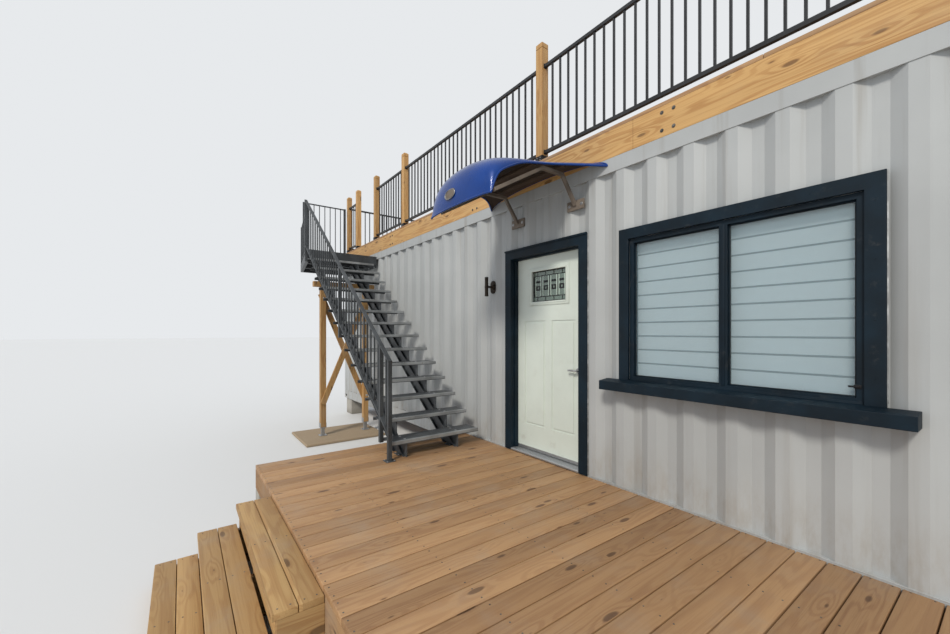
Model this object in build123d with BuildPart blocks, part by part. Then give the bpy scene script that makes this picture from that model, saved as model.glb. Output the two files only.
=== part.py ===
# Shipping container cabin: a 40 ft high cube container fitted out as a cabin, with a timber
# porch deck and steps at its door, a sheet metal hood over the door, a steel stair along the
# front wall and a railed timber deck on its roof.
#
# Millimetres, +Z up. The origin is on the ground at the middle of the whole footprint, +X runs
# along the container to the right as seen from the front, and the front faces -Y. Most places
# are given from the container's left end (across), from its front face (out, positive towards
# the viewer) and from the porch deck's surface (up).

import os
from math import atan2, cos, degrees, hypot, pi, radians, sin

from build123d import *

# Container
BOX_LENGTH = 12192
BOX_WIDTH = 2438
BOX_HEIGHT = 2896
BOX_CLEARANCE = 330
CASTING_LENGTH = 178
CASTING_WIDTH = 162
CASTING_HEIGHT = 118
CASTING_WALL = 14
CASTING_SLOT_LENGTH = 120
CASTING_SLOT_WIDTH = 62
SIDE_SLOT_LENGTH = 80
SIDE_SLOT_WIDTH = 50
SLOT_CORNER = 0.3
POST_FACE = 112
POST_DEPTH = 152
POST_STEEL = 6
BOTTOM_RAIL_HEIGHT = 158
BOTTOM_RAIL_DEPTH = 48
TOP_RAIL_DEPTH = 60
RAIL_STEEL = 5
END_RAIL_DEPTH = 120
CROSS_MEMBER_HEIGHT = 122
CROSS_MEMBER_FLANGE = 45
CROSS_MEMBER_STEEL = 5
CROSS_MEMBER_PITCH = 600
FLOOR_THICKNESS = 28
FLOOR_RISE = 12
ROOF_STEEL = 2
ROOF_SHEET_DROP = 24

# Corrugated side sheet: crest, slope and valley make one pitch
SHEET_STEEL = 2
SHEET_DEPTH = 36
SHEET_CREST = 72
SHEET_SLOPE = 68
SHEET_VALLEY = 70
SHEET_SETBACK = 4
FIRST_SLOPE_ACROSS = 274

# Room lining
LINING_THICKNESS = 89
CARGO_DOOR_SETBACK = 60
CARGO_DOOR_THICKNESS = 50
CARGO_DOOR_GAP = 6
CARGO_PANEL_BORDER = 90
CARGO_PANEL_COUNT = 5
CARGO_PANEL_SINK = 24
CARGO_PANEL_SPACE = 70
CARGO_PANEL_TAPER = 35
LOCK_ROD_RADIUS = 17
ROUND_SIDES = 16
LOCK_ROD_INSET = 25
LOCK_GUIDE_UPS = (300, 1000, 1700, 2300)
LOCK_ROD_MARGIN = 240
LOCK_GUIDE_SIZE = 60
LOCK_GUIDE_HEIGHT = 40
HANDLE_UP = 900
HANDLE_LENGTH = 380
HANDLE_HEIGHT = 32
HANDLE_STEP = 20
HANDLE_STEEL = 8

# Entry door
DOOR_MIDDLE_ACROSS = 6032
DOOR_CLEAR_WIDTH = 924
DOOR_CLEAR_TOP = 2070
JAMB_THICKNESS = 35
TRIM_WIDTH = 94
TRIM_THICKNESS = 20
THRESHOLD_TOP = 28
THRESHOLD_NOSE = 18
LEAF_THICKNESS = 44
LEAF_GAP = 5
LATCH_GAP = 7
LEAF_INSET = 2
STOP_THICKNESS = 12
STOP_DEPTH = 46
LITE_WIDTH = 470
LITE_HEIGHT = 320
LITE_MIDDLE_UP = 1755
LITE_MOULDING = 30
MOULDING_PROUD = 9
GLASS_THICKNESS = 8
PANEL_WIDTH = 300
PANEL_BOTTOM_UP = 300
PANEL_TOP_UP = 1400
PANEL_SPREAD = 390
PANEL_GROOVE = 22
PANEL_GROOVE_DEPTH = 7
LEVER_UP = 920
LEVER_BACKSET = 70
ROSE_RADIUS = 27
LEVER_LENGTH = 115
LEVER_REACH = 52
ROSE_THICKNESS = 10
LEVER_NECK_RADIUS = 10
LEVER_BAR = 18
HINGE_RADIUS = 8
HINGE_PIN_RADIUS = 4
HINGE_RUNNING_GAP = 0.5
HINGE_LEAF = 2
HINGE_WING = 34
HINGE_HEIGHT = 102
HINGE_UPS = (230, 1050, 1850)

# Window
WINDOW_LEFT = 6998
WINDOW_WIDTH = 1386
WINDOW_BOTTOM = 895
WINDOW_HEIGHT = 1135
WINDOW_TRIM = 85
FRAME_BORDER = 34
FRAME_DEPTH = 66
MEETING_STILE = 53
SILL_HEIGHT = 85
SILL_REACH = 120
SILL_EAR = 120
SILL_FALL = 12
BLIND_THICKNESS = 7
BLIND_GAP = 10
BLIND_SIDE_GAP = 6

# Hood over the door
HOOD_MIDDLE_ACROSS = 6000
HOOD_THICKNESS = 8
HOOD_FACETS = 24
HOOD_STATIONS = (
    # out, half width, edge up, crown rise, lean of the section plane in degrees
    (0, 790, 2690, 165, 0),
    (200, 605, 2714, 142, 0),
    (400, 500, 2708, 147, 0),
    (650, 474, 2665, 180, 8),
    (813, 465, 2600, 190, 25),
    (927, 460, 2520, 130, 50),
    (990, 455, 2362, 40, 80),
)
BRACKET_TUBE = 30
BRACKET_MIDDLE_ACROSS = 6065
BRACKET_SPREAD = 780
BRACKET_ROUTE = ((12, 2440), (187, 2680), (434, 2680), (962, 2388))
BRACKET_FOOT_WIDTH = 190
BRACKET_FOOT_HEIGHT = 90
BRACKET_FOOT_STEEL = 6

# Wall lamp
LAMP_ACROSS = 5242
LAMP_UP = 1800
LAMP_PLATE_HEIGHT = 225
LAMP_PLATE_WIDTH = 90
LAMP_PLATE_THICKNESS = 16
LAMP_BODY_RADIUS = 42
LAMP_BODY_HEIGHT = 150
LAMP_BODY_OUT = 78
LAMP_ARM_WIDTH = 24
LAMP_ARM_HEIGHT = 30
LAMP_CAP_HEIGHT = 26
LAMP_CAP_TAPER = 45

# Roof deck
RIM_HEIGHT = 234
PLANK_THICKNESS = 38
RIM_SEAM_ACROSS = 7030
SEAM_GAP = 3
DECK_THICKNESS = 30
JOIST_PITCH = 610
POST_SIZE = 89
ROOF_POST_HEIGHT = 1230
POST_CHAMFER = 20
POST_GROOVE = 6
POST_GROOVE_DROP = 70
POST_EDGE = 75
BASE_HEIGHT = 64
BASE_STEEL = 4
FRONT_POSTS_ACROSS = (POST_EDGE, 640, 1610, 2810, 5950, 9070, BOX_LENGTH - POST_EDGE)
BACK_BAY_COUNT = 4
ACCESS_BAY = 1
RAIL_TOP_UP = 990
RAIL_BOTTOM_UP = 85
RAIL_SIZE = 30
BAR_SIZE = 16
BAR_PITCH = 100

# Porch deck and its steps
PORCH_LEFT = 4500
PORCH_WIDTH = 4880
PORCH_DEPTH = 2340
PORCH_HEIGHT = 480
BOARD_THICKNESS = 38
PORCH_JOIST_HEIGHT = 184
PORCH_JOIST_PITCH = 568
STEPS_LEFT = 5330
STEPS_WIDTH = 1500
STEP_GOING = 243
STEP_RISE = 150
STEP_COUNT = 3
STEP_NOSE = 22
PIER_SIZE = 300
PORCH_PIER_SIZE = 190
PIER_INSET = 30

# Stair to the roof deck
STAIR_FOOT_ACROSS = 5150
STAIR_RISE = 178
STAIR_GOING = 240
TREAD_COUNT = 14
TREAD_DEPTH = 235
TREAD_FOLD = 36
TREAD_STEEL = 4
TREAD_INNER_OUT = 150
TREAD_OUTER_OUT = 1226
STRINGER_OUTS = (420, 1050)
STRINGER_DEPTH = 187
STRINGER_WEB = 10
STRINGER_FLANGE = 55
STRINGER_END_GAP = 10
CLEAT_SETBACK = 14
GUARD_POST = 40
GUARD_RAIL_HEIGHT = 22
HANDRAIL_UP = 830
GUARD_LOW_UP = 70
GUARD_BAR = 14
MID_POST_ACROSS = 3600
SECOND_POST_ACROSS = 4940
TOP_POST_ACROSS = 1830

# Landing at the stair's head
LANDING_UP = 2670
LANDING_PLATE = 6
LANDING_FRAME_HEIGHT = 144
LANDING_FRAME_STEEL = 50
LANDING_JOISTS_ACROSS = (600, 1180)
LANDING_FAR_ACROSS = 20
LANDING_FAR_OUT = 925
LANDING_RAIL_UP = 3430
LANDING_GUARD_LOW = 60
FAR_RAIL_UP = 3970

# Trestle under the stair's head
TRESTLE_ACROSS = 1950
TRESTLE_OUTS = (280, 1010)
TRESTLE_BEAM_HEIGHT = 89
TRESTLE_BEAM_OVERHANG = 110
BRACE_WIDTH = 89
BRACE_THICKNESS = 38
BRACE_LOW = 430
BRACE_HIGH_DROP = 60
PAD_ACROSS = (1400, 2420)
PAD_OUTS = (100, 1380)
PAD_THICKNESS = 40
FOOT_PLATE_SIZE = 120
FOOT_PLATE_HEIGHT = 140
FOOT_STEEL = 8
FOOT_STUB = 50
CUP_HEIGHT = 80

# Places worked out from the sizes above
STEPS_REACH = PORCH_DEPTH + STEP_COUNT * STEP_GOING
FRONT = (STEPS_REACH - BOX_WIDTH) / 2
BACK = FRONT + BOX_WIDTH
LEFT = -BOX_LENGTH / 2
RIGHT = BOX_LENGTH / 2
DECK_Z = PORCH_HEIGHT
BOX_BOTTOM = BOX_CLEARANCE
BOX_TOP = BOX_BOTTOM + BOX_HEIGHT
FLOOR_TOP = BOX_BOTTOM + BOTTOM_RAIL_HEIGHT + FLOOR_RISE
SHEET_BOTTOM = BOX_BOTTOM + BOTTOM_RAIL_HEIGHT
SHEET_TOP = BOX_TOP - CASTING_HEIGHT
CEILING_TOP = BOX_TOP - ROOF_SHEET_DROP - ROOF_STEEL
SHEET_BACK = SHEET_SETBACK + SHEET_DEPTH + SHEET_STEEL
WALL_THICKNESS = SHEET_BACK + LINING_THICKNESS
SHEET_PITCH = SHEET_CREST + 2 * SHEET_SLOPE + SHEET_VALLEY
ROOF_DECK_TOP = BOX_TOP + RIM_HEIGHT + DECK_THICKNESS
STRINGER_DROP = TREAD_FOLD + TREAD_DEPTH * STAIR_RISE / STAIR_GOING

os.makedirs("parts", exist_ok=True)


def save(builder, label):
    """Label a finished piece and write it as its own file."""
    builder.part.label = label
    export_step(builder.part, f"parts/{label}.step")


def at(across):
    """X of a place measured from the container's left end."""
    return LEFT + across


def out(distance):
    """Y of a place measured outwards from the container's front face."""
    return FRONT - distance


def up(height):
    """Z of a place measured from the porch deck's surface."""
    return DECK_Z + height


def block(x_span, y_span, z_span, mode=Mode.ADD):
    """Add a rectangular piece that fills the given spans to the open part."""
    low = [min(span) for span in (x_span, y_span, z_span)]
    high = [max(span) for span in (x_span, y_span, z_span)]
    middle = tuple((a + b) / 2 for a, b in zip(low, high))
    with Locations(middle):
        Box(*(b - a for a, b in zip(low, high)), mode=mode)


def side_plate(points, y_low, thickness, mode=Mode.ADD):
    """Add a plate whose outline is given in X and Z and which stands across Y."""
    with BuildSketch(Plane.XZ.offset(-(y_low + thickness))) as outline:
        with BuildLine():
            Polyline(*points, close=True)
        make_face()
    extrude(to_extrude=outline.sketch, amount=thickness, mode=mode)


def nosing_up(across):
    """Height of the stair's nosing line above the porch deck."""
    return STAIR_RISE + (STAIR_FOOT_ACROSS - across) * STAIR_RISE / STAIR_GOING


def nosing_across(height):
    """Place along the container where the nosing line has this height."""
    return STAIR_FOOT_ACROSS - (height - STAIR_RISE) * STAIR_GOING / STAIR_RISE


# Container frame


def corner_signs():
    """Directions from the container's middle to its corners, as (x, y) signs."""
    return [(sx, sy) for sx in (-1, 1) for sy in (-1, 1)]


def corner_span(sign, low, high, depth):
    """Span of the given depth that starts at the low or the high end and runs inwards."""
    return (low, low + depth) if sign < 0 else (high - depth, high)


with BuildPart() as corner_posts:
    for sx, sy in corner_signs():
        x_span = corner_span(sx, LEFT, RIGHT, POST_FACE)
        y_span = corner_span(sy, FRONT, BACK, POST_DEPTH)
        z_span = (BOX_BOTTOM + CASTING_HEIGHT, BOX_TOP - CASTING_HEIGHT)
        block(x_span, y_span, z_span)
        hollow_x = (x_span[0] + POST_STEEL, x_span[1] - POST_STEEL)
        hollow_y = (y_span[0] + POST_STEEL, y_span[1] - POST_STEEL)
        block(hollow_x, hollow_y, z_span, Mode.SUBTRACT)
save(corner_posts, "corner_posts")

with BuildPart() as corner_castings:
    for sx, sy in corner_signs():
        for sz in (-1, 1):
            x_span = corner_span(sx, LEFT, RIGHT, CASTING_LENGTH)
            y_span = corner_span(sy, FRONT, BACK, CASTING_WIDTH)
            z_span = corner_span(sz, BOX_BOTTOM, BOX_TOP, CASTING_HEIGHT)
            spans = (x_span, y_span, z_span)
            block(*spans)
            block(*[(a + CASTING_WALL, b - CASTING_WALL) for a, b in spans], Mode.SUBTRACT)
            middle = [(a + b) / 2 for a, b in spans]
            faces = (
                (Vector(0, 0, sz), CASTING_HEIGHT, CASTING_SLOT_LENGTH, CASTING_SLOT_WIDTH),
                (Vector(0, sy, 0), CASTING_WIDTH, SIDE_SLOT_LENGTH, SIDE_SLOT_WIDTH),
            )
            for normal, depth, length, width in faces:
                start = Vector(*middle) + normal * (depth / 2)
                with BuildSketch(Plane(start, x_dir=(1, 0, 0), z_dir=normal)) as slot:
                    Rectangle(length, width)
                    chamfer(slot.vertices(), width * SLOT_CORNER)
                extrude(slot.sketch, amount=-CASTING_WALL, mode=Mode.SUBTRACT)
save(corner_castings, "corner_castings")


def side_channel(face, inward, z_span, depth, length_span):
    """Add a rail whose web stands at the face and whose two flanges point inwards."""
    z_low, z_high = z_span
    web = (face, face + inward * RAIL_STEEL)
    flange = (face, face + inward * depth)
    block(length_span, web, z_span)
    block(length_span, flange, (z_low, z_low + RAIL_STEEL))
    block(length_span, flange, (z_high - RAIL_STEEL, z_high))


RAIL_SPAN = (LEFT + CASTING_LENGTH, RIGHT - CASTING_LENGTH)
END_SPAN = (FRONT + CASTING_WIDTH, BACK - CASTING_WIDTH)
CASTING_TOP = BOX_BOTTOM + CASTING_HEIGHT

with BuildPart() as bottom_rails:
    for face, inward in ((FRONT, 1), (BACK, -1)):
        side_channel(face, inward, (BOX_BOTTOM, SHEET_BOTTOM), BOTTOM_RAIL_DEPTH, RAIL_SPAN)
        web = (face, face + inward * RAIL_STEEL)
        block((LEFT + POST_FACE, RAIL_SPAN[0]), web, (CASTING_TOP, SHEET_BOTTOM))
        block((RAIL_SPAN[1], RIGHT - POST_FACE), web, (CASTING_TOP, SHEET_BOTTOM))
    for end, inward in ((LEFT, 1), (RIGHT, -1)):
        block((end, end + inward * END_RAIL_DEPTH), END_SPAN, (BOX_BOTTOM, SHEET_BOTTOM))
        hollow = (end + inward * RAIL_STEEL, end + inward * (END_RAIL_DEPTH - RAIL_STEEL))
        block(hollow, END_SPAN, (BOX_BOTTOM + RAIL_STEEL, SHEET_BOTTOM - RAIL_STEEL), Mode.SUBTRACT)
save(bottom_rails, "bottom_rails")

with BuildPart() as top_rails:
    for face, inward in ((FRONT, 1), (BACK, -1)):
        block(RAIL_SPAN, (face, face + inward * TOP_RAIL_DEPTH), (SHEET_TOP, BOX_TOP))
        hollow = (face + inward * RAIL_STEEL, face + inward * (TOP_RAIL_DEPTH - RAIL_STEEL))
        block(RAIL_SPAN, hollow, (SHEET_TOP + RAIL_STEEL, BOX_TOP - RAIL_STEEL), Mode.SUBTRACT)
    for end, inward in ((LEFT, 1), (RIGHT, -1)):
        block((end, end + inward * END_RAIL_DEPTH), END_SPAN, (SHEET_TOP, BOX_TOP))
        hollow = (end + inward * RAIL_STEEL, end + inward * (END_RAIL_DEPTH - RAIL_STEEL))
        block(hollow, END_SPAN, (SHEET_TOP + RAIL_STEEL, BOX_TOP - RAIL_STEEL), Mode.SUBTRACT)
save(top_rails, "top_rails")

FLOOR_BOTTOM = FLOOR_TOP - FLOOR_THICKNESS
FLOOR_LEFT = LEFT + END_RAIL_DEPTH
FLOOR_RIGHT = RIGHT - END_RAIL_DEPTH
MEMBER_COUNT = int((FLOOR_RIGHT - FLOOR_LEFT - CROSS_MEMBER_FLANGE) // CROSS_MEMBER_PITCH)
MEMBER_PITCH = (FLOOR_RIGHT - FLOOR_LEFT) / (MEMBER_COUNT + 1)

MEMBER_PLACES = [(FLOOR_LEFT + (n + 1) * MEMBER_PITCH, 0, 0) for n in range(MEMBER_COUNT)]

with BuildPart() as floor_cross_members:
    with Locations(*MEMBER_PLACES):
        y_span = (FRONT + RAIL_STEEL, BACK - RAIL_STEEL)
        z_low = FLOOR_BOTTOM - CROSS_MEMBER_HEIGHT
        flange = (0, CROSS_MEMBER_FLANGE)
        block((0, CROSS_MEMBER_STEEL), y_span, (z_low, FLOOR_BOTTOM))
        block(flange, y_span, (z_low, z_low + CROSS_MEMBER_STEEL))
        block(flange, y_span, (FLOOR_BOTTOM - CROSS_MEMBER_STEEL, FLOOR_BOTTOM))
save(floor_cross_members, "floor_cross_members")

with BuildPart() as floor:
    y_span = (FRONT + BOTTOM_RAIL_DEPTH, BACK - BOTTOM_RAIL_DEPTH)
    block((FLOOR_LEFT, FLOOR_RIGHT), y_span, (FLOOR_BOTTOM, FLOOR_TOP))
save(floor, "floor")


def top_slab(z_span):
    """Add a slab between the top rails, cut back at the four corner castings."""
    block((FLOOR_LEFT, FLOOR_RIGHT), (FRONT + TOP_RAIL_DEPTH, BACK - TOP_RAIL_DEPTH), z_span)
    for sx, sy in corner_signs():
        corner_x = corner_span(sx, LEFT, RIGHT, CASTING_LENGTH)
        block(corner_x, corner_span(sy, FRONT, BACK, CASTING_WIDTH), z_span, Mode.SUBTRACT)


with BuildPart() as roof_sheet:
    top_slab((CEILING_TOP, CEILING_TOP + ROOF_STEEL))
save(roof_sheet, "roof_sheet")

with BuildPart() as ceiling:
    top_slab((SHEET_TOP, CEILING_TOP))
save(ceiling, "ceiling")


# Corrugated walls and the room's lining


def corrugation(length, first_slope):
    """Points along a sheet and inwards from its crests, from one edge to the other."""
    points = [(0, 0)]
    start = first_slope
    while start + 2 * SHEET_SLOPE + SHEET_VALLEY < length:
        valley = start + SHEET_SLOPE
        points += [(start, 0), (valley, SHEET_DEPTH), (valley + SHEET_VALLEY, SHEET_DEPTH)]
        points.append((valley + SHEET_VALLEY + SHEET_SLOPE, 0))
        start += SHEET_PITCH
    points.append((length, 0))
    return points


def sheet_plan(points, place):
    """Plan outline of a sheet: its outer line, then its inner line the other way round."""
    outer = [place(along, inward) for along, inward in points]
    inner = [place(along, inward + SHEET_STEEL) for along, inward in reversed(points)]
    return outer + inner


def raise_sheet(plan):
    """Add a corrugated sheet that stands between the bottom and the top rail."""
    with BuildSketch(Plane.XY.offset(SHEET_BOTTOM)) as outline:
        with BuildLine():
            Polyline(*plan, close=True)
        make_face()
    extrude(outline.sketch, amount=SHEET_TOP - SHEET_BOTTOM)


SHEET_LEFT = LEFT + POST_FACE
SHEET_LENGTH = BOX_LENGTH - 2 * POST_FACE
END_SHEET_FRONT = FRONT + POST_DEPTH
END_SHEET_LENGTH = BOX_WIDTH - 2 * POST_DEPTH
END_FIRST_SLOPE = (END_SHEET_LENGTH % SHEET_PITCH + SHEET_CREST) / 2
LONG_CORRUGATION = corrugation(SHEET_LENGTH, FIRST_SLOPE_ACROSS - POST_FACE)
END_CORRUGATION = corrugation(END_SHEET_LENGTH, END_FIRST_SLOPE)

ROUGH_LEFT = at(DOOR_MIDDLE_ACROSS) - DOOR_CLEAR_WIDTH / 2 - JAMB_THICKNESS
ROUGH_RIGHT = at(DOOR_MIDDLE_ACROSS) + DOOR_CLEAR_WIDTH / 2 + JAMB_THICKNESS
ROUGH_TOP = up(DOOR_CLEAR_TOP) + JAMB_THICKNESS
WALL_SPAN = (out(0), out(-WALL_THICKNESS))
SHEET_FACE = out(-SHEET_SETBACK)
WINDOW_X = (at(WINDOW_LEFT), at(WINDOW_LEFT + WINDOW_WIDTH))
WINDOW_Z = (up(WINDOW_BOTTOM), up(WINDOW_BOTTOM + WINDOW_HEIGHT))

with BuildPart() as front_wall:
    raise_sheet(sheet_plan(LONG_CORRUGATION, lambda s, d: (SHEET_LEFT + s, SHEET_FACE + d)))
    block((ROUGH_LEFT, ROUGH_RIGHT), WALL_SPAN, (SHEET_BOTTOM, ROUGH_TOP), Mode.SUBTRACT)
    block(WINDOW_X, WALL_SPAN, WINDOW_Z, Mode.SUBTRACT)
save(front_wall, "front_wall")

with BuildPart() as back_wall:
    back_face = BACK - SHEET_SETBACK
    raise_sheet(sheet_plan(LONG_CORRUGATION, lambda s, d: (SHEET_LEFT + s, back_face - d)))
save(back_wall, "back_wall")

with BuildPart() as left_end_wall:
    end_face = LEFT + SHEET_SETBACK
    raise_sheet(sheet_plan(END_CORRUGATION, lambda s, d: (end_face + d, END_SHEET_FRONT + s)))
save(left_end_wall, "left_end_wall")

LINING_Y = (FRONT + SHEET_BACK, FRONT + WALL_THICKNESS)
LINING_LEFT = LEFT + POST_FACE
LINING_RIGHT = RIGHT - POST_FACE
LINING_Z = (FLOOR_TOP, SHEET_TOP)

with BuildPart() as lining_front_left:
    block((LINING_LEFT, ROUGH_LEFT), LINING_Y, LINING_Z)
save(lining_front_left, "lining_front_left")

with BuildPart() as lining_over_door:
    block((ROUGH_LEFT, ROUGH_RIGHT), LINING_Y, (ROUGH_TOP, SHEET_TOP))
save(lining_over_door, "lining_over_door")

with BuildPart() as lining_front_right:
    block((ROUGH_RIGHT, LINING_RIGHT), LINING_Y, LINING_Z)
    block(WINDOW_X, WALL_SPAN, WINDOW_Z, Mode.SUBTRACT)
save(lining_front_right, "lining_front_right")

with BuildPart() as lining_back:
    block((LINING_LEFT, LINING_RIGHT), (BACK - WALL_THICKNESS, BACK - SHEET_BACK), LINING_Z)
save(lining_back, "lining_back")

ROOM_Y = (FRONT + WALL_THICKNESS, BACK - WALL_THICKNESS)
ROOM_LEFT = LEFT + WALL_THICKNESS
CARGO_DOOR_BACK = RIGHT - CARGO_DOOR_SETBACK - CARGO_DOOR_THICKNESS
ROOM_RIGHT = RIGHT - POST_FACE - LINING_THICKNESS

with BuildPart() as lining_ends:
    block((LINING_LEFT, ROOM_LEFT), ROOM_Y, LINING_Z)
    between_posts = (FRONT + POST_DEPTH, BACK - POST_DEPTH)
    block((LEFT + SHEET_BACK, LINING_LEFT), between_posts, LINING_Z)
    block((ROOM_RIGHT, LINING_RIGHT), ROOM_Y, LINING_Z)
save(lining_ends, "lining_ends")


# Cargo doors at the far end

LEAF_TOTAL = BOX_WIDTH - 2 * POST_DEPTH
CARGO_LEAF_WIDTH = (LEAF_TOTAL - CARGO_DOOR_GAP) / 2
CARGO_MIDDLE_Y = (FRONT + BACK) / 2
CARGO_LEAF_OFFSET = (CARGO_LEAF_WIDTH + CARGO_DOOR_GAP) / 2
CARGO_DOOR_FACE = RIGHT - CARGO_DOOR_SETBACK
CARGO_HEIGHT = SHEET_TOP - SHEET_BOTTOM
CARGO_PANEL_PITCH = (CARGO_HEIGHT - 2 * CARGO_PANEL_BORDER + CARGO_PANEL_SPACE) / CARGO_PANEL_COUNT
CARGO_PANEL_HEIGHT = CARGO_PANEL_PITCH - CARGO_PANEL_SPACE

with BuildPart() as cargo_doors:
    for side in (-1, 1):
        leaf_y = CARGO_MIDDLE_Y + side * CARGO_LEAF_OFFSET
        half = CARGO_LEAF_WIDTH / 2
        leaf_span = (leaf_y - half, leaf_y + half)
        block((CARGO_DOOR_BACK, CARGO_DOOR_FACE), leaf_span, (SHEET_BOTTOM, SHEET_TOP))
        middle = (CARGO_DOOR_FACE, leaf_y, (SHEET_BOTTOM + SHEET_TOP) / 2)
        with BuildSketch(Plane(middle, x_dir=(0, 1, 0), z_dir=(1, 0, 0))) as pockets:
            with GridLocations(1, CARGO_PANEL_PITCH, 1, CARGO_PANEL_COUNT):
                Rectangle(CARGO_LEAF_WIDTH - 2 * CARGO_PANEL_BORDER, CARGO_PANEL_HEIGHT)
        extrude(pockets.sketch, amount=-CARGO_PANEL_SINK, taper=CARGO_PANEL_TAPER, mode=Mode.SUBTRACT)
save(cargo_doors, "cargo_doors")

LOCK_ROD_X = CARGO_DOOR_FACE + LOCK_ROD_INSET

with BuildPart() as cargo_lock_rods:
    for side in (-1, 1):
        for rod_offset in (-LOCK_ROD_MARGIN, LOCK_ROD_MARGIN):
            rod_y = CARGO_MIDDLE_Y + side * CARGO_LEAF_OFFSET + rod_offset
            with BuildSketch(Plane((LOCK_ROD_X, rod_y, SHEET_BOTTOM))) as rod:
                RegularPolygon(LOCK_ROD_RADIUS, ROUND_SIDES)
            extrude(rod.sketch, amount=CARGO_HEIGHT)
            for guide_up in LOCK_GUIDE_UPS:
                guide_z = SHEET_BOTTOM + guide_up
                guide_span = (rod_y - LOCK_GUIDE_SIZE / 2, rod_y + LOCK_GUIDE_SIZE / 2)
                guide_height = (guide_z, guide_z + LOCK_GUIDE_HEIGHT)
                block((CARGO_DOOR_FACE, LOCK_ROD_X), guide_span, guide_height)
            grip_y = rod_y + (HANDLE_LENGTH if rod_offset < 0 else -HANDLE_LENGTH)
            grip_z = SHEET_BOTTOM + HANDLE_UP + (HANDLE_HEIGHT + HANDLE_STEP if rod_offset < 0 else 0)
            block(
                (LOCK_ROD_X, LOCK_ROD_X + HANDLE_STEEL),
                (rod_y, grip_y),
                (grip_z, grip_z + HANDLE_HEIGHT),
            )
save(cargo_lock_rods, "cargo_lock_rods")


# Doorway and entry door

CLEAR_X = (ROUGH_LEFT + JAMB_THICKNESS, ROUGH_RIGHT - JAMB_THICKNESS)
CLEAR_TOP_Z = up(DOOR_CLEAR_TOP)
FRAME_Y = (SHEET_FACE, FRONT + WALL_THICKNESS)
LEAF_BACK = FRONT + WALL_THICKNESS - LEAF_INSET
LEAF_FACE = LEAF_BACK - LEAF_THICKNESS
LEAF_X = (CLEAR_X[0] + LEAF_GAP, CLEAR_X[1] - LATCH_GAP)
LEAF_Z = (up(THRESHOLD_TOP) + LEAF_GAP, CLEAR_TOP_Z - LEAF_GAP)
STOP_BACK = LEAF_FACE - LEAF_GAP
STOP_Y = (STOP_BACK - STOP_DEPTH, STOP_BACK)
HINGE_X = CLEAR_X[0] + LEAF_GAP / 2
HINGE_Y = FRONT + WALL_THICKNESS + HINGE_RADIUS + HINGE_RUNNING_GAP
KNUCKLE_HEIGHT = HINGE_HEIGHT / 3
SILL_Z = (FLOOR_TOP, up(THRESHOLD_TOP))
THRESHOLD_FACE = out(THRESHOLD_NOSE)

with BuildPart() as door_frame:
    block((ROUGH_LEFT, ROUGH_RIGHT), FRAME_Y, (FLOOR_TOP, ROUGH_TOP))
    block(CLEAR_X, FRAME_Y, (FLOOR_TOP, CLEAR_TOP_Z), Mode.SUBTRACT)
    for jamb_x, inward in ((CLEAR_X[0], 1), (CLEAR_X[1], -1)):
        stop_x = (jamb_x, jamb_x + inward * STOP_THICKNESS)
        block(stop_x, STOP_Y, (SILL_Z[1], CLEAR_TOP_Z))
    block(CLEAR_X, STOP_Y, (CLEAR_TOP_Z - STOP_THICKNESS, CLEAR_TOP_Z))
    for hinge_up in HINGE_UPS:
        middle_z = up(hinge_up)
        knuckle_z = (middle_z - KNUCKLE_HEIGHT / 2, middle_z + KNUCKLE_HEIGHT / 2)
        wing_y = (FRAME_Y[1], FRAME_Y[1] + HINGE_LEAF)
        block((HINGE_X - HINGE_WING, HINGE_X), wing_y, knuckle_z)
        with Locations((HINGE_X, HINGE_Y, middle_z)):
            Cylinder(HINGE_RADIUS, KNUCKLE_HEIGHT)
            Cylinder(HINGE_PIN_RADIUS + HINGE_RUNNING_GAP, KNUCKLE_HEIGHT, mode=Mode.SUBTRACT)
save(door_frame, "door_frame")

with BuildPart() as door_hinges:
    for hinge_up in HINGE_UPS:
        middle_z = up(hinge_up)
        for side in (-1, 1):
            knuckle_middle = middle_z + side * (KNUCKLE_HEIGHT + HINGE_RUNNING_GAP)
            with Locations((HINGE_X, HINGE_Y, knuckle_middle)):
                Cylinder(HINGE_RADIUS, KNUCKLE_HEIGHT)
            half = KNUCKLE_HEIGHT / 2
            wing_z = (knuckle_middle - half, knuckle_middle + half)
            block((HINGE_X, HINGE_X + HINGE_WING), (LEAF_BACK, FRAME_Y[1] + HINGE_LEAF), wing_z)
        with Locations((HINGE_X, HINGE_Y, middle_z)):
            Cylinder(HINGE_PIN_RADIUS, HINGE_HEIGHT)
save(door_hinges, "door_hinges")

with BuildPart() as door_threshold:
    block(CLEAR_X, (THRESHOLD_FACE, FRAME_Y[1]), SILL_Z)
    block(CLEAR_X, (THRESHOLD_FACE, FRONT + BOTTOM_RAIL_DEPTH), (SHEET_BOTTOM, FLOOR_TOP))
    front_top = door_threshold.edges().filter_by(Axis.X).group_by(Axis.Y)[0].sort_by(Axis.Z)[-1]
    chamfer(front_top, THRESHOLD_NOSE / 2)
save(door_threshold, "door_threshold")

DOOR_TRIM_X = (CLEAR_X[0] - TRIM_WIDTH, CLEAR_X[1] + TRIM_WIDTH)
TRIM_Y = (out(TRIM_THICKNESS), SHEET_FACE)

with BuildPart() as door_trim:
    block(DOOR_TRIM_X, TRIM_Y, (SHEET_BOTTOM, CLEAR_TOP_Z + TRIM_WIDTH))
    block(CLEAR_X, TRIM_Y, (SHEET_BOTTOM, CLEAR_TOP_Z), Mode.SUBTRACT)
save(door_trim, "door_trim")

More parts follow.
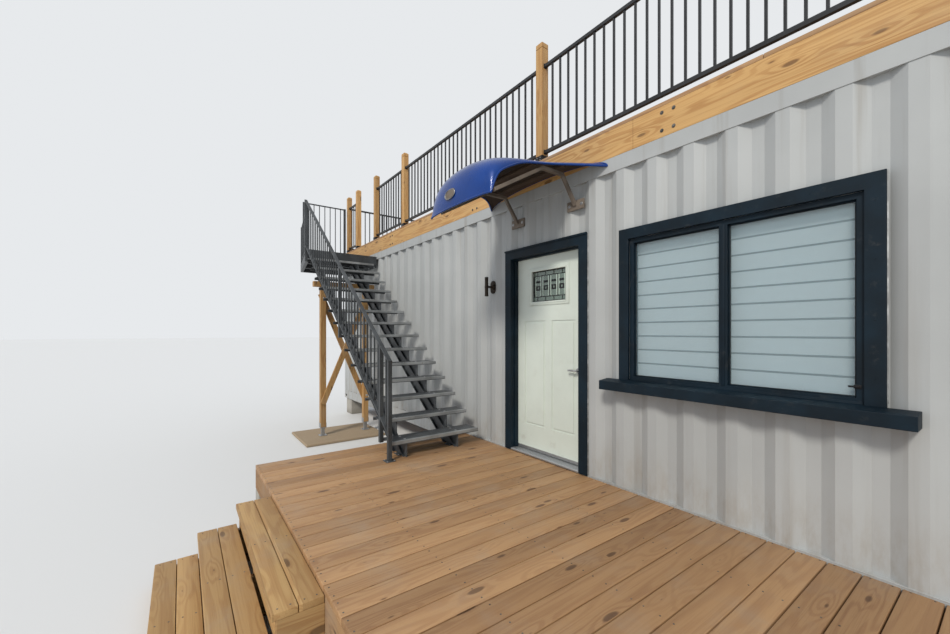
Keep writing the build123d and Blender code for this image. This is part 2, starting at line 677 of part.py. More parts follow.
DOOR_MIDDLE_X = sum(LEAF_X) / 2
LITE_X = (DOOR_MIDDLE_X - LITE_WIDTH / 2, DOOR_MIDDLE_X + LITE_WIDTH / 2)
LITE_Z = (up(LITE_MIDDLE_UP) - LITE_HEIGHT / 2, up(LITE_MIDDLE_UP) + LITE_HEIGHT / 2)


def grown(span, margin):
    """The span made longer by the margin at each end."""
    return (span[0] - margin, span[1] + margin)


with BuildPart() as entry_door:
    moulded_y = grown((LEAF_FACE, LEAF_BACK), MOULDING_PROUD)
    block(LEAF_X, (LEAF_FACE, LEAF_BACK), LEAF_Z)
    block(grown(LITE_X, LITE_MOULDING), moulded_y, grown(LITE_Z, LITE_MOULDING))
    rims = entry_door.edges().filter_by(Axis.Y, reverse=True)
    proud = rims.group_by(Axis.Y)[0] + rims.group_by(Axis.Y)[-1]
    chamfer(proud, MOULDING_PROUD * 0.8)
    block(LITE_X, moulded_y, LITE_Z, Mode.SUBTRACT)
    for face_y, inward in ((LEAF_FACE, 1), (LEAF_BACK, -1)):
        groove_y = (face_y, face_y + inward * PANEL_GROOVE_DEPTH)
        for side in (-1, 1):
            middle_x = DOOR_MIDDLE_X + side * PANEL_SPREAD / 2
            panel_x = (middle_x - PANEL_WIDTH / 2, middle_x + PANEL_WIDTH / 2)
            panel_z = (up(PANEL_BOTTOM_UP), up(PANEL_TOP_UP))
            block(panel_x, groove_y, panel_z, Mode.SUBTRACT)
            block(grown(panel_x, -PANEL_GROOVE), groove_y, grown(panel_z, -PANEL_GROOVE))
save(entry_door, "entry_door")

with BuildPart() as door_glass:
    glass_y = (LEAF_FACE + LEAF_BACK - GLASS_THICKNESS) / 2
    block(LITE_X, (glass_y, glass_y + GLASS_THICKNESS), LITE_Z)
save(door_glass, "door_glass")

LEVER_X = LEAF_X[1] - LEVER_BACKSET

with BuildPart() as door_lever:
    for face_y, outward in ((LEAF_FACE, -1), (LEAF_BACK, 1)):
        with Locations(Location((LEVER_X, face_y, up(LEVER_UP)), (-90 * outward, 0, 0))):
            base = (Align.CENTER, Align.CENTER, Align.MIN)
            Cylinder(ROSE_RADIUS, ROSE_THICKNESS, align=base)
            Cylinder(LEVER_NECK_RADIUS, LEVER_REACH, align=base)
        bar_y = face_y + outward * (LEVER_REACH - LEVER_BAR)
        block(
            (LEVER_X - LEVER_LENGTH, LEVER_X + LEVER_NECK_RADIUS),
            (bar_y, bar_y + outward * LEVER_BAR),
            (up(LEVER_UP) - LEVER_BAR / 2, up(LEVER_UP) + LEVER_BAR / 2),
        )
save(door_lever, "door_lever")


# Window

WINDOW_FRAME_Y = (SHEET_FACE, SHEET_FACE + FRAME_DEPTH)
WINDOW_MIDDLE_X = sum(WINDOW_X) / 2
STILE_X = (WINDOW_MIDDLE_X - MEETING_STILE / 2, WINDOW_MIDDLE_X + MEETING_STILE / 2)
PANE_Z = grown(WINDOW_Z, -FRAME_BORDER)
PANE_X = ((WINDOW_X[0] + FRAME_BORDER, STILE_X[0]), (STILE_X[1], WINDOW_X[1] - FRAME_BORDER))
PANE_Y = (sum(WINDOW_FRAME_Y) - GLASS_THICKNESS) / 2

with BuildPart() as window_frame:
    block(WINDOW_X, WINDOW_FRAME_Y, WINDOW_Z)
    for pane_x in PANE_X:
        block(pane_x, WINDOW_FRAME_Y, PANE_Z, Mode.SUBTRACT)
save(window_frame, "window_frame")

with BuildPart() as window_glass:
    for pane_x in PANE_X:
        block(pane_x, (PANE_Y, PANE_Y + GLASS_THICKNESS), PANE_Z)
save(window_glass, "window_glass")

with BuildPart() as window_trim:
    outer_x = grown(WINDOW_X, WINDOW_TRIM)
    block(outer_x, TRIM_Y, (WINDOW_Z[0], WINDOW_Z[1] + WINDOW_TRIM))
    block(WINDOW_X, TRIM_Y, WINDOW_Z, Mode.SUBTRACT)
save(window_trim, "window_trim")

SILL_X = grown(outer_x, SILL_EAR)

with BuildPart() as window_sill:
    block(SILL_X, (out(SILL_REACH), SHEET_FACE), (WINDOW_Z[0] - SILL_HEIGHT, WINDOW_Z[0]))
    nose = window_sill.edges().filter_by(Axis.X).group_by(Axis.Y)[0].sort_by(Axis.Z)[-1]
    chamfer(nose, SILL_FALL, SILL_REACH - TRIM_THICKNESS)
save(window_sill, "window_sill")

BLIND_Y = WINDOW_FRAME_Y[1] + BLIND_GAP

with BuildPart() as window_blind:
    block(grown(WINDOW_X, -BLIND_SIDE_GAP), (BLIND_Y, BLIND_Y + BLIND_THICKNESS), WINDOW_Z)
save(window_blind, "window_blind")


# Wall lamp beside the door

LAMP_MIDDLE = up(LAMP_UP)

with BuildPart() as wall_lamp:
    half_width = LAMP_PLATE_WIDTH / 2
    half_height = LAMP_PLATE_HEIGHT / 2
    lamp_x = at(LAMP_ACROSS)
    plate_x = (lamp_x - half_width, lamp_x + half_width)
    plate_face = SHEET_FACE - LAMP_PLATE_THICKNESS
    block(plate_x, (plate_face, SHEET_FACE), (LAMP_MIDDLE - half_height, LAMP_MIDDLE + half_height))
    arm_z = LAMP_MIDDLE + LAMP_BODY_HEIGHT / 2
    with BuildSketch(Plane((lamp_x, out(LAMP_BODY_OUT), arm_z))) as body:
        RegularPolygon(LAMP_BODY_RADIUS, ROUND_SIDES)
    extrude(body.sketch, amount=-LAMP_BODY_HEIGHT)
    extrude(body.sketch, amount=LAMP_CAP_HEIGHT, taper=LAMP_CAP_TAPER)
    arm_x = (lamp_x - LAMP_ARM_WIDTH / 2, lamp_x + LAMP_ARM_WIDTH / 2)
    block(arm_x, (out(LAMP_BODY_OUT), plate_face), (arm_z - LAMP_ARM_HEIGHT, arm_z))
save(wall_lamp, "wall_lamp")


# Hood over the door and its two brackets


def hood_section(station, inset):
    """Arch of one hood station, from its right edge over the crown to its left edge."""
    _, half_width, _, rise, _ = station
    turns = [number * pi / HOOD_FACETS for number in range(HOOD_FACETS + 1)]
    return [((half_width - inset) * cos(turn), (rise - inset) * sin(turn)) for turn in turns]


with BuildPart() as hood:
    for station in HOOD_STATIONS:
        station_out, _, edge_up, _, lean = station
        lean_angle = radians(lean)
        origin = (at(HOOD_MIDDLE_ACROSS), out(station_out), up(edge_up))
        normal = (0, -cos(lean_angle), -sin(lean_angle))
        with BuildSketch(Plane(origin, x_dir=(1, 0, 0), z_dir=normal)):
            with BuildLine():
                outer = hood_section(station, 0)
                inner = hood_section(station, HOOD_THICKNESS)
                Polyline(*outer, *reversed(inner), close=True)
            make_face()
    loft(ruled=True)
save(hood, "hood")

with BuildPart() as hood_brackets:
    for side in (-1, 1):
        bracket_x = at(BRACKET_MIDDLE_ACROSS + side * BRACKET_SPREAD / 2)
        route = [(bracket_x, out(reach), up(height)) for reach, height in BRACKET_ROUTE]
        with BuildLine() as bend:
            Polyline(*route)
        with BuildSketch(Plane(bend.line @ 0, x_dir=(1, 0, 0), z_dir=bend.line % 0)) as tube:
            Rectangle(BRACKET_TUBE, BRACKET_TUBE)
        sweep(tube.sketch, path=bend.line, transition=Transition.RIGHT)
        foot_out, foot_up = BRACKET_ROUTE[0]
        half_width = BRACKET_FOOT_WIDTH / 2
        foot_z = (up(foot_up) - BRACKET_FOOT_HEIGHT / 2, up(foot_up) + BRACKET_FOOT_HEIGHT / 2)
        block((bracket_x - half_width, bracket_x + half_width), (out(foot_out), SHEET_FACE), foot_z)
save(hood_brackets, "hood_brackets")


# Roof deck, its rim and its railing

RIM_Z = (BOX_TOP, BOX_TOP + RIM_HEIGHT)

with BuildPart() as roof_rim:
    for face, inward in ((FRONT, 1), (BACK, -1)):
        rim_y = (face, face + inward * PLANK_THICKNESS)
        block((LEFT, at(RIM_SEAM_ACROSS) - SEAM_GAP), rim_y, RIM_Z)
        block((at(RIM_SEAM_ACROSS), RIGHT), rim_y, RIM_Z)
    end_y = grown((FRONT + PLANK_THICKNESS, BACK - PLANK_THICKNESS), -SEAM_GAP)
    block((LEFT, LEFT + PLANK_THICKNESS), end_y, RIM_Z)
    block((RIGHT - PLANK_THICKNESS, RIGHT), end_y, RIM_Z)
save(roof_rim, "roof_rim")

JOIST_COUNT = int(BOX_LENGTH // JOIST_PITCH) - 1
JOIST_STEP = BOX_LENGTH / (JOIST_COUNT + 1)

with BuildPart() as roof_joists:
    with Locations(*[(LEFT + (n + 1) * JOIST_STEP, 0, 0) for n in range(JOIST_COUNT)]):
        joist_y = (FRONT + PLANK_THICKNESS, BACK - PLANK_THICKNESS)
        block((-PLANK_THICKNESS / 2, PLANK_THICKNESS / 2), joist_y, RIM_Z)
save(roof_joists, "roof_joists")

with BuildPart() as roof_deck:
    block((LEFT, RIGHT), (FRONT, BACK), (RIM_Z[1], ROOF_DECK_TOP))
save(roof_deck, "roof_deck")

FRONT_ROW_Y = FRONT + POST_EDGE
BACK_ROW_Y = BACK - POST_EDGE
BACK_BAY = (BOX_LENGTH - 2 * POST_EDGE) / BACK_BAY_COUNT
BACK_POSTS_ACROSS = [POST_EDGE + number * BACK_BAY for number in range(BACK_BAY_COUNT + 1)]
POST_PLACES = [(at(across), FRONT_ROW_Y, 0) for across in FRONT_POSTS_ACROSS]
POST_PLACES += [(at(across), BACK_ROW_Y, 0) for across in BACK_POSTS_ACROSS]
BASE_SIZE = POST_SIZE + 2 * BASE_STEEL
POST_FOOT_Z = ROOF_DECK_TOP + BASE_STEEL
POST_TOP_Z = ROOF_DECK_TOP + ROOF_POST_HEIGHT
GROOVE_Z = POST_TOP_Z - POST_GROOVE_DROP


def square_block(size, z_span, mode=Mode.ADD):
    """Add a block square in plan and centred on the place."""
    block((-size / 2, size / 2), (-size / 2, size / 2), z_span, mode)


with BuildPart() as roof_posts:
    with Locations(*POST_PLACES):
        square_block(POST_SIZE, (POST_FOOT_Z, GROOVE_Z))
        square_block(POST_SIZE - POST_GROOVE, (GROOVE_Z, GROOVE_Z + POST_GROOVE))
        square_block(POST_SIZE, (GROOVE_Z + POST_GROOVE, POST_TOP_Z))
    chamfer(roof_posts.edges().group_by(Axis.Z)[-1], POST_CHAMFER)
save(roof_posts, "roof_posts")

with BuildPart() as roof_post_bases:
    with Locations(*POST_PLACES):
        square_block(BASE_SIZE, (ROOF_DECK_TOP, ROOF_DECK_TOP + BASE_HEIGHT))
        square_block(POST_SIZE, (POST_FOOT_Z, ROOF_DECK_TOP + BASE_HEIGHT), Mode.SUBTRACT)
save(roof_post_bases, "roof_post_bases")


def railing_bay(length, low_up, high_up, rail=RAIL_SIZE, bar=BAR_SIZE):
    """Add one bay along local X: a low and a high rail with upright bars between them."""
    half = rail / 2
    block((0, length), (-half, half), (low_up, low_up + rail))
    block((0, length), (-half, half), (high_up - rail, high_up))
    count = max(int(length // BAR_PITCH) - 1, 1)
    step = length / (count + 1)
    with Locations(*[((number + 1) * step, 0, 0) for number in range(count)]):
        square_block(bar, (low_up + rail, high_up - rail))


def bay_at(start, end, turn, z, low_up, high_up):
    """Add a railing bay between two posts whose middles stand at start and end."""
    length = hypot(end[0] - start[0], end[1] - start[1]) - POST_SIZE
    direction = (cos(radians(turn)), sin(radians(turn)))
    x = start[0] + direction[0] * POST_SIZE / 2
    y = start[1] + direction[1] * POST_SIZE / 2
    with Locations(Location((x, y, z), (0, 0, turn))):
        railing_bay(length, low_up, high_up)


RAIL_UPS = (RAIL_BOTTOM_UP, RAIL_TOP_UP)

with BuildPart() as roof_railing_front:
    for bay, (start, end) in enumerate(zip(FRONT_POSTS_ACROSS, FRONT_POSTS_ACROSS[1:])):
        if bay != ACCESS_BAY:
            ends = (at(start), FRONT_ROW_Y), (at(end), FRONT_ROW_Y)
            bay_at(*ends, 0, ROOF_DECK_TOP, *RAIL_UPS)
save(roof_railing_front, "roof_railing_front")

with BuildPart() as roof_railing_back:
    for start, end in zip(BACK_POSTS_ACROSS, BACK_POSTS_ACROSS[1:]):
        ends = (at(start), BACK_ROW_Y), (at(end), BACK_ROW_Y)
        bay_at(*ends, 0, ROOF_DECK_TOP, *RAIL_UPS)
save(roof_railing_back, "roof_railing_back")

with BuildPart() as roof_railing_ends:
    for across in (FRONT_POSTS_ACROSS[0], FRONT_POSTS_ACROSS[-1]):
        ends = (at(across), FRONT_ROW_Y), (at(across), BACK_ROW_Y)
        bay_at(*ends, 90, ROOF_DECK_TOP, *RAIL_UPS)
save(roof_railing_ends, "roof_railing_ends")


# Porch deck, its frame and its steps

PORCH_X = (at(PORCH_LEFT), at(PORCH_LEFT + PORCH_WIDTH))
PORCH_Y = (out(PORCH_DEPTH), FRONT)
PORCH_BOARD_Z = (DECK_Z - BOARD_THICKNESS, DECK_Z)
PORCH_FRAME_Z = (PORCH_BOARD_Z[0] - PORCH_JOIST_HEIGHT, PORCH_BOARD_Z[0])

with BuildPart() as porch_deck:
    block(PORCH_X, PORCH_Y, PORCH_BOARD_Z)
save(porch_deck, "porch_deck")

PORCH_JOIST_COUNT = round((PORCH_DEPTH - PLANK_THICKNESS) / PORCH_JOIST_PITCH)
PORCH_JOIST_STEP = (PORCH_DEPTH - PLANK_THICKNESS) / PORCH_JOIST_COUNT

with BuildPart() as porch_frame:
    for number in range(PORCH_JOIST_COUNT + 1):
        joist_y = PORCH_Y[0] + number * PORCH_JOIST_STEP
        block(PORCH_X, (joist_y, joist_y + PLANK_THICKNESS), PORCH_FRAME_Z)
    for end_x, inward in ((PORCH_X[0], 1), (PORCH_X[1], -1)):
        block((end_x, end_x + inward * PLANK_THICKNESS), PORCH_Y, PORCH_FRAME_Z)
save(porch_frame, "porch_frame")

STEPS_X = (at(STEPS_LEFT), at(STEPS_LEFT + STEPS_WIDTH))
STEP_TOPS = [STEP_RISE * (STEP_COUNT - number) for number in range(STEP_COUNT)]
STEP_FRONTS = [PORCH_DEPTH + STEP_GOING * (number + 1) for number in range(STEP_COUNT)]

with BuildPart() as porch_steps:
    for number in range(STEP_COUNT):
        back_out = STEP_FRONTS[number] - STEP_GOING - (STEP_NOSE if number else 0)
        step_z = (STEP_TOPS[number] - BOARD_THICKNESS, STEP_TOPS[number])
        block(STEPS_X, (out(STEP_FRONTS[number]), out(back_out)), step_z)
save(porch_steps, "porch_steps")

with BuildPart() as step_carriages:
    outline = [(out(PORCH_DEPTH), 0)]
    back_out = PORCH_DEPTH
    for number in range(STEP_COUNT):
        tread_z = STEP_TOPS[number] - BOARD_THICKNESS
        outline += [(out(back_out), tread_z), (out(STEP_FRONTS[number] - STEP_NOSE), tread_z)]
        back_out = STEP_FRONTS[number] - STEP_NOSE
    outline.append((out(back_out), 0))
    middle_x = sum(STEPS_X) / 2
    for low_x in (STEPS_X[0], middle_x - PLANK_THICKNESS / 2, STEPS_X[1] - PLANK_THICKNESS):
        with BuildSketch(Plane.YZ.offset(low_x)) as saw:
            with BuildLine():
                Polyline(*outline, close=True)
            make_face()
        extrude(saw.sketch, amount=PLANK_THICKNESS)
save(step_carriages, "step_carriages")

with BuildPart() as foundation_blocks:
    half = PIER_SIZE / 2
    for pier_x in (LEFT + PIER_INSET + half, 0, RIGHT - PIER_INSET - half):
        for pier_y in (FRONT + PIER_INSET + half, BACK - PIER_INSET - half):
            block((pier_x - half, pier_x + half), (pier_y - half, pier_y + half), (0, BOX_BOTTOM))
    half = PORCH_PIER_SIZE / 2
    for pier_x in (PORCH_X[0] + half, sum(PORCH_X) / 2, PORCH_X[1] - half):
        for number in (0, PORCH_JOIST_COUNT // 2, PORCH_JOIST_COUNT):
            joist_y = PORCH_Y[0] + number * PORCH_JOIST_STEP + PLANK_THICKNESS / 2
            pier_y = min(max(joist_y, PORCH_Y[0] + half), PORCH_Y[1] - half)
            span_y = (pier_y - half, pier_y + half)
            block((pier_x - half, pier_x + half), span_y, (0, PORCH_FRAME_Z[0]))
save(foundation_blocks, "foundation_blocks")


# Stair to the roof

STRINGER_BOTTOM_DROP = STRINGER_DROP + STRINGER_DEPTH
LANDING_FRAME_BOTTOM = LANDING_UP - LANDING_PLATE - LANDING_FRAME_HEIGHT
STRINGER_END_ACROSS = STAIR_FOOT_ACROSS - TREAD_COUNT * STAIR_GOING - STAIR_GOING + STRINGER_END_GAP
TREAD_Y = (out(TREAD_OUTER_OUT), out(TREAD_INNER_OUT))


def slope_band(top_drop, bottom_drop):
    """Outline of a band parallel to the nosing line, from the porch deck to the landing."""
    foot = [(nosing_across(bottom_drop), 0), (nosing_across(top_drop), 0)]
    head = []
    for drop in (top_drop, bottom_drop):
        meets = nosing_across(LANDING_FRAME_BOTTOM + drop)
        if meets >= STRINGER_END_ACROSS:
            head.append((meets, LANDING_FRAME_BOTTOM))
        else:
            if head[-1:] and head[-1][1] == LANDING_FRAME_BOTTOM:
                head.append((STRINGER_END_ACROSS, LANDING_FRAME_BOTTOM))
            head.append((STRINGER_END_ACROSS, nosing_up(STRINGER_END_ACROSS) - drop))
    return [(at(across), up(height)) for across, height in foot + head]


def tread_front(number):
    """Place along the container of a tread's front edge."""
    return STAIR_FOOT_ACROSS - (number - 1) * STAIR_GOING


def cleat_outline(number):
    """Outline of the plate that fills the space between a tread and the stringer under it."""
    front = tread_front(number) - CLEAT_SETBACK
    seat = number * STAIR_RISE - TREAD_FOLD
    low = nosing_up(front) - STRINGER_DROP
    cleat = [(front, seat), (tread_front(number) - TREAD_DEPTH, seat)]
    cleat += [(front, low)] if low > 0 else [(nosing_across(STRINGER_DROP), 0), (front, 0)]
    return [(at(across), up(height)) for across, height in cleat]


SEAT_HALF = POST_SIZE / 2
SEAT_RIGHT = TRESTLE_ACROSS + SEAT_HALF
SEAT_LEFT = TRESTLE_ACROSS - SEAT_HALF
SEAT_UP = nosing_up(SEAT_RIGHT) - STRINGER_BOTTOM_DROP
FLANGE_DROP = STRINGER_WEB / cos(atan2(STAIR_RISE, STAIR_GOING))

with BuildPart() as stair_stringers:
    for stringer_out in STRINGER_OUTS:
        web_y = out(stringer_out) - STRINGER_WEB / 2
        flange_y = out(stringer_out) - STRINGER_FLANGE / 2
        side_plate(slope_band(STRINGER_DROP, STRINGER_BOTTOM_DROP), web_y, STRINGER_WEB)
        top_flange = slope_band(STRINGER_DROP, STRINGER_DROP + FLANGE_DROP)
        side_plate(top_flange, flange_y, STRINGER_FLANGE)
        low_flange = slope_band(STRINGER_BOTTOM_DROP - FLANGE_DROP, STRINGER_BOTTOM_DROP)
        side_plate(low_flange, flange_y, STRINGER_FLANGE)
        high = nosing_up(SEAT_LEFT) - STRINGER_BOTTOM_DROP
        seat = [(SEAT_RIGHT, SEAT_UP), (SEAT_LEFT, SEAT_UP), (SEAT_LEFT, high)]
        side_plate([(at(a), up(h)) for a, h in seat], flange_y, STRINGER_FLANGE)
save(stair_stringers, "stair_stringers")

with BuildPart() as stair_treads:
    for number in range(1, TREAD_COUNT + 1):
        front = at(tread_front(number))
        top = up(number * STAIR_RISE)
        tread_x = (front - TREAD_DEPTH, front)
        block(tread_x, TREAD_Y, (top - TREAD_FOLD, top))
        pan_x = grown(tread_x, -TREAD_STEEL)
        block(pan_x, TREAD_Y, (top - TREAD_FOLD, top - TREAD_STEEL), Mode.SUBTRACT)
        for stringer_out in STRINGER_OUTS:
            seat_y = (out(stringer_out) - STRINGER_WEB, out(stringer_out) + STRINGER_WEB)
            block(pan_x, seat_y, (top - TREAD_FOLD, top - TREAD_STEEL))
            web_y = out(stringer_out) - STRINGER_WEB / 2
            side_plate(cleat_outline(number), web_y, STRINGER_WEB)
save(stair_treads, "stair_treads")

GUARD_Y = out(TREAD_OUTER_OUT + GUARD_POST / 2)
POST_HALF = GUARD_POST / 2
GUARD_START = STAIR_FOOT_ACROSS + POST_HALF
GUARD_END = TOP_POST_ACROSS - POST_HALF


def guard_band(low_up, high_up):
    """Outline of a guard rail that runs at these heights above the nosing line."""
    corners = ((GUARD_START, low_up), (GUARD_END, low_up), (GUARD_END, high_up), (GUARD_START, high_up))
    return [(at(across), up(nosing_up(across) + height)) for across, height in corners]


with BuildPart() as stair_guard:
    for low_up in (GUARD_LOW_UP, HANDRAIL_UP - GUARD_RAIL_HEIGHT):
        side_plate(guard_band(low_up, low_up + GUARD_RAIL_HEIGHT), GUARD_Y - POST_HALF, GUARD_POST)
    posts = {STAIR_FOOT_ACROSS: 0}
    for across in (SECOND_POST_ACROSS, MID_POST_ACROSS, TOP_POST_ACROSS):
        beside = int((STAIR_FOOT_ACROSS - across) // STAIR_GOING) + 1
        posts[across] = beside * STAIR_RISE - TREAD_FOLD
    rail_middle = GUARD_RAIL_HEIGHT / 2
    for across, low in posts.items():
        with Locations((at(across), GUARD_Y, 0)):
            high = nosing_up(across) + HANDRAIL_UP - rail_middle
            square_block(GUARD_POST, (up(low), up(high)))
    bar_count = int((GUARD_START - GUARD_END) // BAR_PITCH)
    bar_step = (GUARD_START - GUARD_END) / bar_count
    bars = [GUARD_START - number * bar_step for number in range(1, bar_count)]
    bars = [bar for bar in bars if min(abs(bar - post) for post in posts) > GUARD_POST]
    with Locations(*[(at(bar), GUARD_Y, up(nosing_up(bar))) for bar in bars]):
        square_block(GUARD_BAR, (GUARD_LOW_UP + rail_middle, HANDRAIL_UP - rail_middle))
save(stair_guard, "stair_guard")


# Landing at the stair's head

LANDING_NEAR = tread_front(TREAD_COUNT + 1)
LANDING_TOP_Z = up(LANDING_UP)
LANDING_PLAN = [
    (at(LANDING_NEAR), FRONT),
    (at(LANDING_NEAR), out(TREAD_OUTER_OUT)),
    (at(LANDING_FAR_ACROSS), out(LANDING_FAR_OUT)),
    (at(LANDING_FAR_ACROSS), FRONT),
]

with BuildPart() as landing_platform:
    with BuildSketch(Plane.XY.offset(LANDING_TOP_Z - LANDING_PLATE)) as plate:
        with BuildLine():
            Polyline(*LANDING_PLAN, close=True)
        make_face()
    extrude(plate.sketch, amount=LANDING_PLATE)
    with BuildSketch(Plane.XY.offset(LANDING_TOP_Z - LANDING_PLATE - LANDING_FRAME_HEIGHT)) as ring:
        with BuildLine():
            Polyline(*LANDING_PLAN, close=True)
        make_face()
        offset(amount=-LANDING_FRAME_STEEL, kind=Kind.INTERSECTION, mode=Mode.SUBTRACT)
    extrude(ring.sketch, amount=LANDING_FRAME_HEIGHT)
    reach_change = (TREAD_OUTER_OUT - LANDING_FAR_OUT) / (LANDING_NEAR - LANDING_FAR_ACROSS)
    for across in LANDING_JOISTS_ACROSS:
        edge_out = LANDING_FAR_OUT + (across - LANDING_FAR_ACROSS) * reach_change
        joist_x = (at(across), at(across) + LANDING_FRAME_STEEL)
        joist_z = (LANDING_TOP_Z - LANDING_PLATE - LANDING_FRAME_HEIGHT, LANDING_TOP_Z)
        block(joist_x, (out(edge_out - LANDING_FRAME_STEEL / 2), FRONT), joist_z)
save(landing_platform, "landing_platform")

CORNER_OUT = LANDING_FAR_OUT - POST_HALF
LANDING_EDGE = (LANDING_PLAN[1][0] - LANDING_PLAN[2][0], LANDING_PLAN[2][1] - LANDING_PLAN[1][1])
EDGE_ANGLE = degrees(atan2(-LANDING_EDGE[1], LANDING_EDGE[0]))
EDGE_LENGTH = hypot(*LANDING_EDGE)

with BuildPart() as landing_guard_outer:
    edge_start = Location((*LANDING_PLAN[2], LANDING_TOP_Z), (0, 0, EDGE_ANGLE))
    with Locations(edge_start):
        with Locations((GUARD_POST + SEAM_GAP, POST_HALF, 0)):
            length = EDGE_LENGTH - 2 * GUARD_POST - SEAM_GAP
            high = LANDING_RAIL_UP - LANDING_UP
            railing_bay(length, LANDING_GUARD_LOW, high, GUARD_RAIL_HEIGHT, GUARD_BAR)
            for post_x in (0, length - GUARD_POST):
                block((post_x, post_x + GUARD_POST), (-POST_HALF, POST_HALF), (0, high))
save(landing_guard_outer, "landing_guard_outer")

with BuildPart() as landing_guard_end:
    far_y = out(LANDING_FAR_OUT - GUARD_POST)
    with Locations(Location((at(LANDING_FAR_ACROSS) + POST_HALF, far_y, LANDING_TOP_Z), (0, 0, 90))):
        length = FRONT - far_y
        high = FAR_RAIL_UP - LANDING_UP
        railing_bay(length, LANDING_GUARD_LOW, high, GUARD_RAIL_HEIGHT, GUARD_BAR)
        for post_x in (0, length - GUARD_POST):
            block((post_x, post_x + GUARD_POST), (-POST_HALF, POST_HALF), (0, high))
save(landing_guard_end, "landing_guard_end")


# Trestle that carries the stair's head

TRESTLE_X = (at(SEAT_LEFT), at(SEAT_RIGHT))
BEAM_Z = (up(SEAT_UP) - TRESTLE_BEAM_HEIGHT, up(SEAT_UP))
BEAM_OUTS = (
    TRESTLE_OUTS[0] - SEAT_HALF - TRESTLE_BEAM_OVERHANG,
    TRESTLE_OUTS[1] + SEAT_HALF + TRESTLE_BEAM_OVERHANG,
)
WOOD_FOOT_Z = PAD_THICKNESS + FOOT_PLATE_HEIGHT

with BuildPart() as trestle_beam:
    block(TRESTLE_X, (out(BEAM_OUTS[0]), out(BEAM_OUTS[1])), BEAM_Z)
save(trestle_beam, "trestle_beam")

with BuildPart() as trestle_posts:
    for post_out in TRESTLE_OUTS:
        post_y = grown((out(post_out), out(post_out)), SEAT_HALF)
        block(TRESTLE_X, post_y, (WOOD_FOOT_Z, BEAM_Z[0]))
save(trestle_posts, "trestle_posts")

with BuildPart() as trestle_braces:
    reach = abs(TRESTLE_OUTS[1] - TRESTLE_OUTS[0])
    low_z = WOOD_FOOT_Z + BRACE_LOW
    high_z = BEAM_Z[0] - BRACE_HIGH_DROP - BRACE_WIDTH
    middle = (out(sum(TRESTLE_OUTS) / 2), (low_z + high_z) / 2)
    tilt = degrees(atan2(high_z - low_z, reach))
    brace_length = hypot(reach, high_z - low_z) + BRACE_WIDTH
    for face_x, outward, turn in ((TRESTLE_X[1], 1, tilt), (TRESTLE_X[0], -1, -tilt)):
        brace_x = face_x + outward * BRACE_THICKNESS / 2
        with Locations(Location((brace_x, *middle), (turn, 0, 0))):
            Box(BRACE_THICKNESS, brace_length, BRACE_WIDTH)
save(trestle_braces, "trestle_braces")

with BuildPart() as trestle_feet:
    base = (Align.CENTER, Align.CENTER, Align.MIN)
    for post_out in TRESTLE_OUTS:
        foot = (at(TRESTLE_ACROSS), out(post_out))
        with Locations((*foot, PAD_THICKNESS)):
            Box(FOOT_PLATE_SIZE, FOOT_PLATE_SIZE, FOOT_STEEL, align=base)
            Box(FOOT_STUB, FOOT_STUB, FOOT_PLATE_HEIGHT, align=base)
        with Locations((*foot, WOOD_FOOT_Z - FOOT_STEEL)):
            Box(POST_SIZE, POST_SIZE + 2 * BASE_STEEL, CUP_HEIGHT, align=base)
        with Locations((*foot, WOOD_FOOT_Z)):
            Box(POST_SIZE, POST_SIZE, CUP_HEIGHT, align=base, mode=Mode.SUBTRACT)
save(trestle_feet, "trestle_feet")

with BuildPart() as trestle_pad:
    pad_x = (at(PAD_ACROSS[0]), at(PAD_ACROSS[1]))
    block(pad_x, (out(PAD_OUTS[0]), out(PAD_OUTS[1])), (0, PAD_THICKNESS))
save(trestle_pad, "trestle_pad")
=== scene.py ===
"""Looks for the shipping container cabin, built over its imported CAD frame.

The CAD nodes that have the right shape keep it and get their finish here. The boards, the hood,
the door's leaded light and lever, the blind, the lamp, the hardware and the fixings are modelled
here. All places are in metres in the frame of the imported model: +Z up, the front faces -Y.
"""

import math
from collections import namedtuple
from contextlib import contextmanager
from itertools import product

import bpy
from bpy.props import FloatProperty, FloatVectorProperty, IntProperty, PointerProperty
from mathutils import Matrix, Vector


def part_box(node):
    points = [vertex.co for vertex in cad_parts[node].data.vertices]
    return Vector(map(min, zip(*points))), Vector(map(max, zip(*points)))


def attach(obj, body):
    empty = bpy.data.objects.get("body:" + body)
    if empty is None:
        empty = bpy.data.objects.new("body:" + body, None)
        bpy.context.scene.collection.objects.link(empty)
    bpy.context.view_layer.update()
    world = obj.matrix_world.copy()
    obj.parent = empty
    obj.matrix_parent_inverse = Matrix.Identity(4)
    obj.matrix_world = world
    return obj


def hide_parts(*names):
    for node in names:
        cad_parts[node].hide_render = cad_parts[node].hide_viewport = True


bl_info = {
    "name": "Shipping Container Cabin",
    "version": (1, 0, 0),
    "blender": (4, 5, 0),
    "location": "3D View > Sidebar > Cabin",
    "description": "Dresses the packed container cabin with boards, hood, hardware and finishes",
    "category": "Object",
}

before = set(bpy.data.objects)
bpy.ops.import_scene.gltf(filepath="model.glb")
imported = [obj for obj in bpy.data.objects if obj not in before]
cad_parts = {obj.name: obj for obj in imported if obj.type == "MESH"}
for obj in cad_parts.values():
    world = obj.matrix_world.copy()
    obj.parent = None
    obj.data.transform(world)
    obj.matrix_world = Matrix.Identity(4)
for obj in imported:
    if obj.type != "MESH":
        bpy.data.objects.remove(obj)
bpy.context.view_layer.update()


# Sizes and colours that a user would change


def metres(name, description, value, least):
    """A length property in metres with this name, description, default and least value."""
    return FloatProperty(
        name=name, description=description, default=value, min=least, unit="LENGTH")


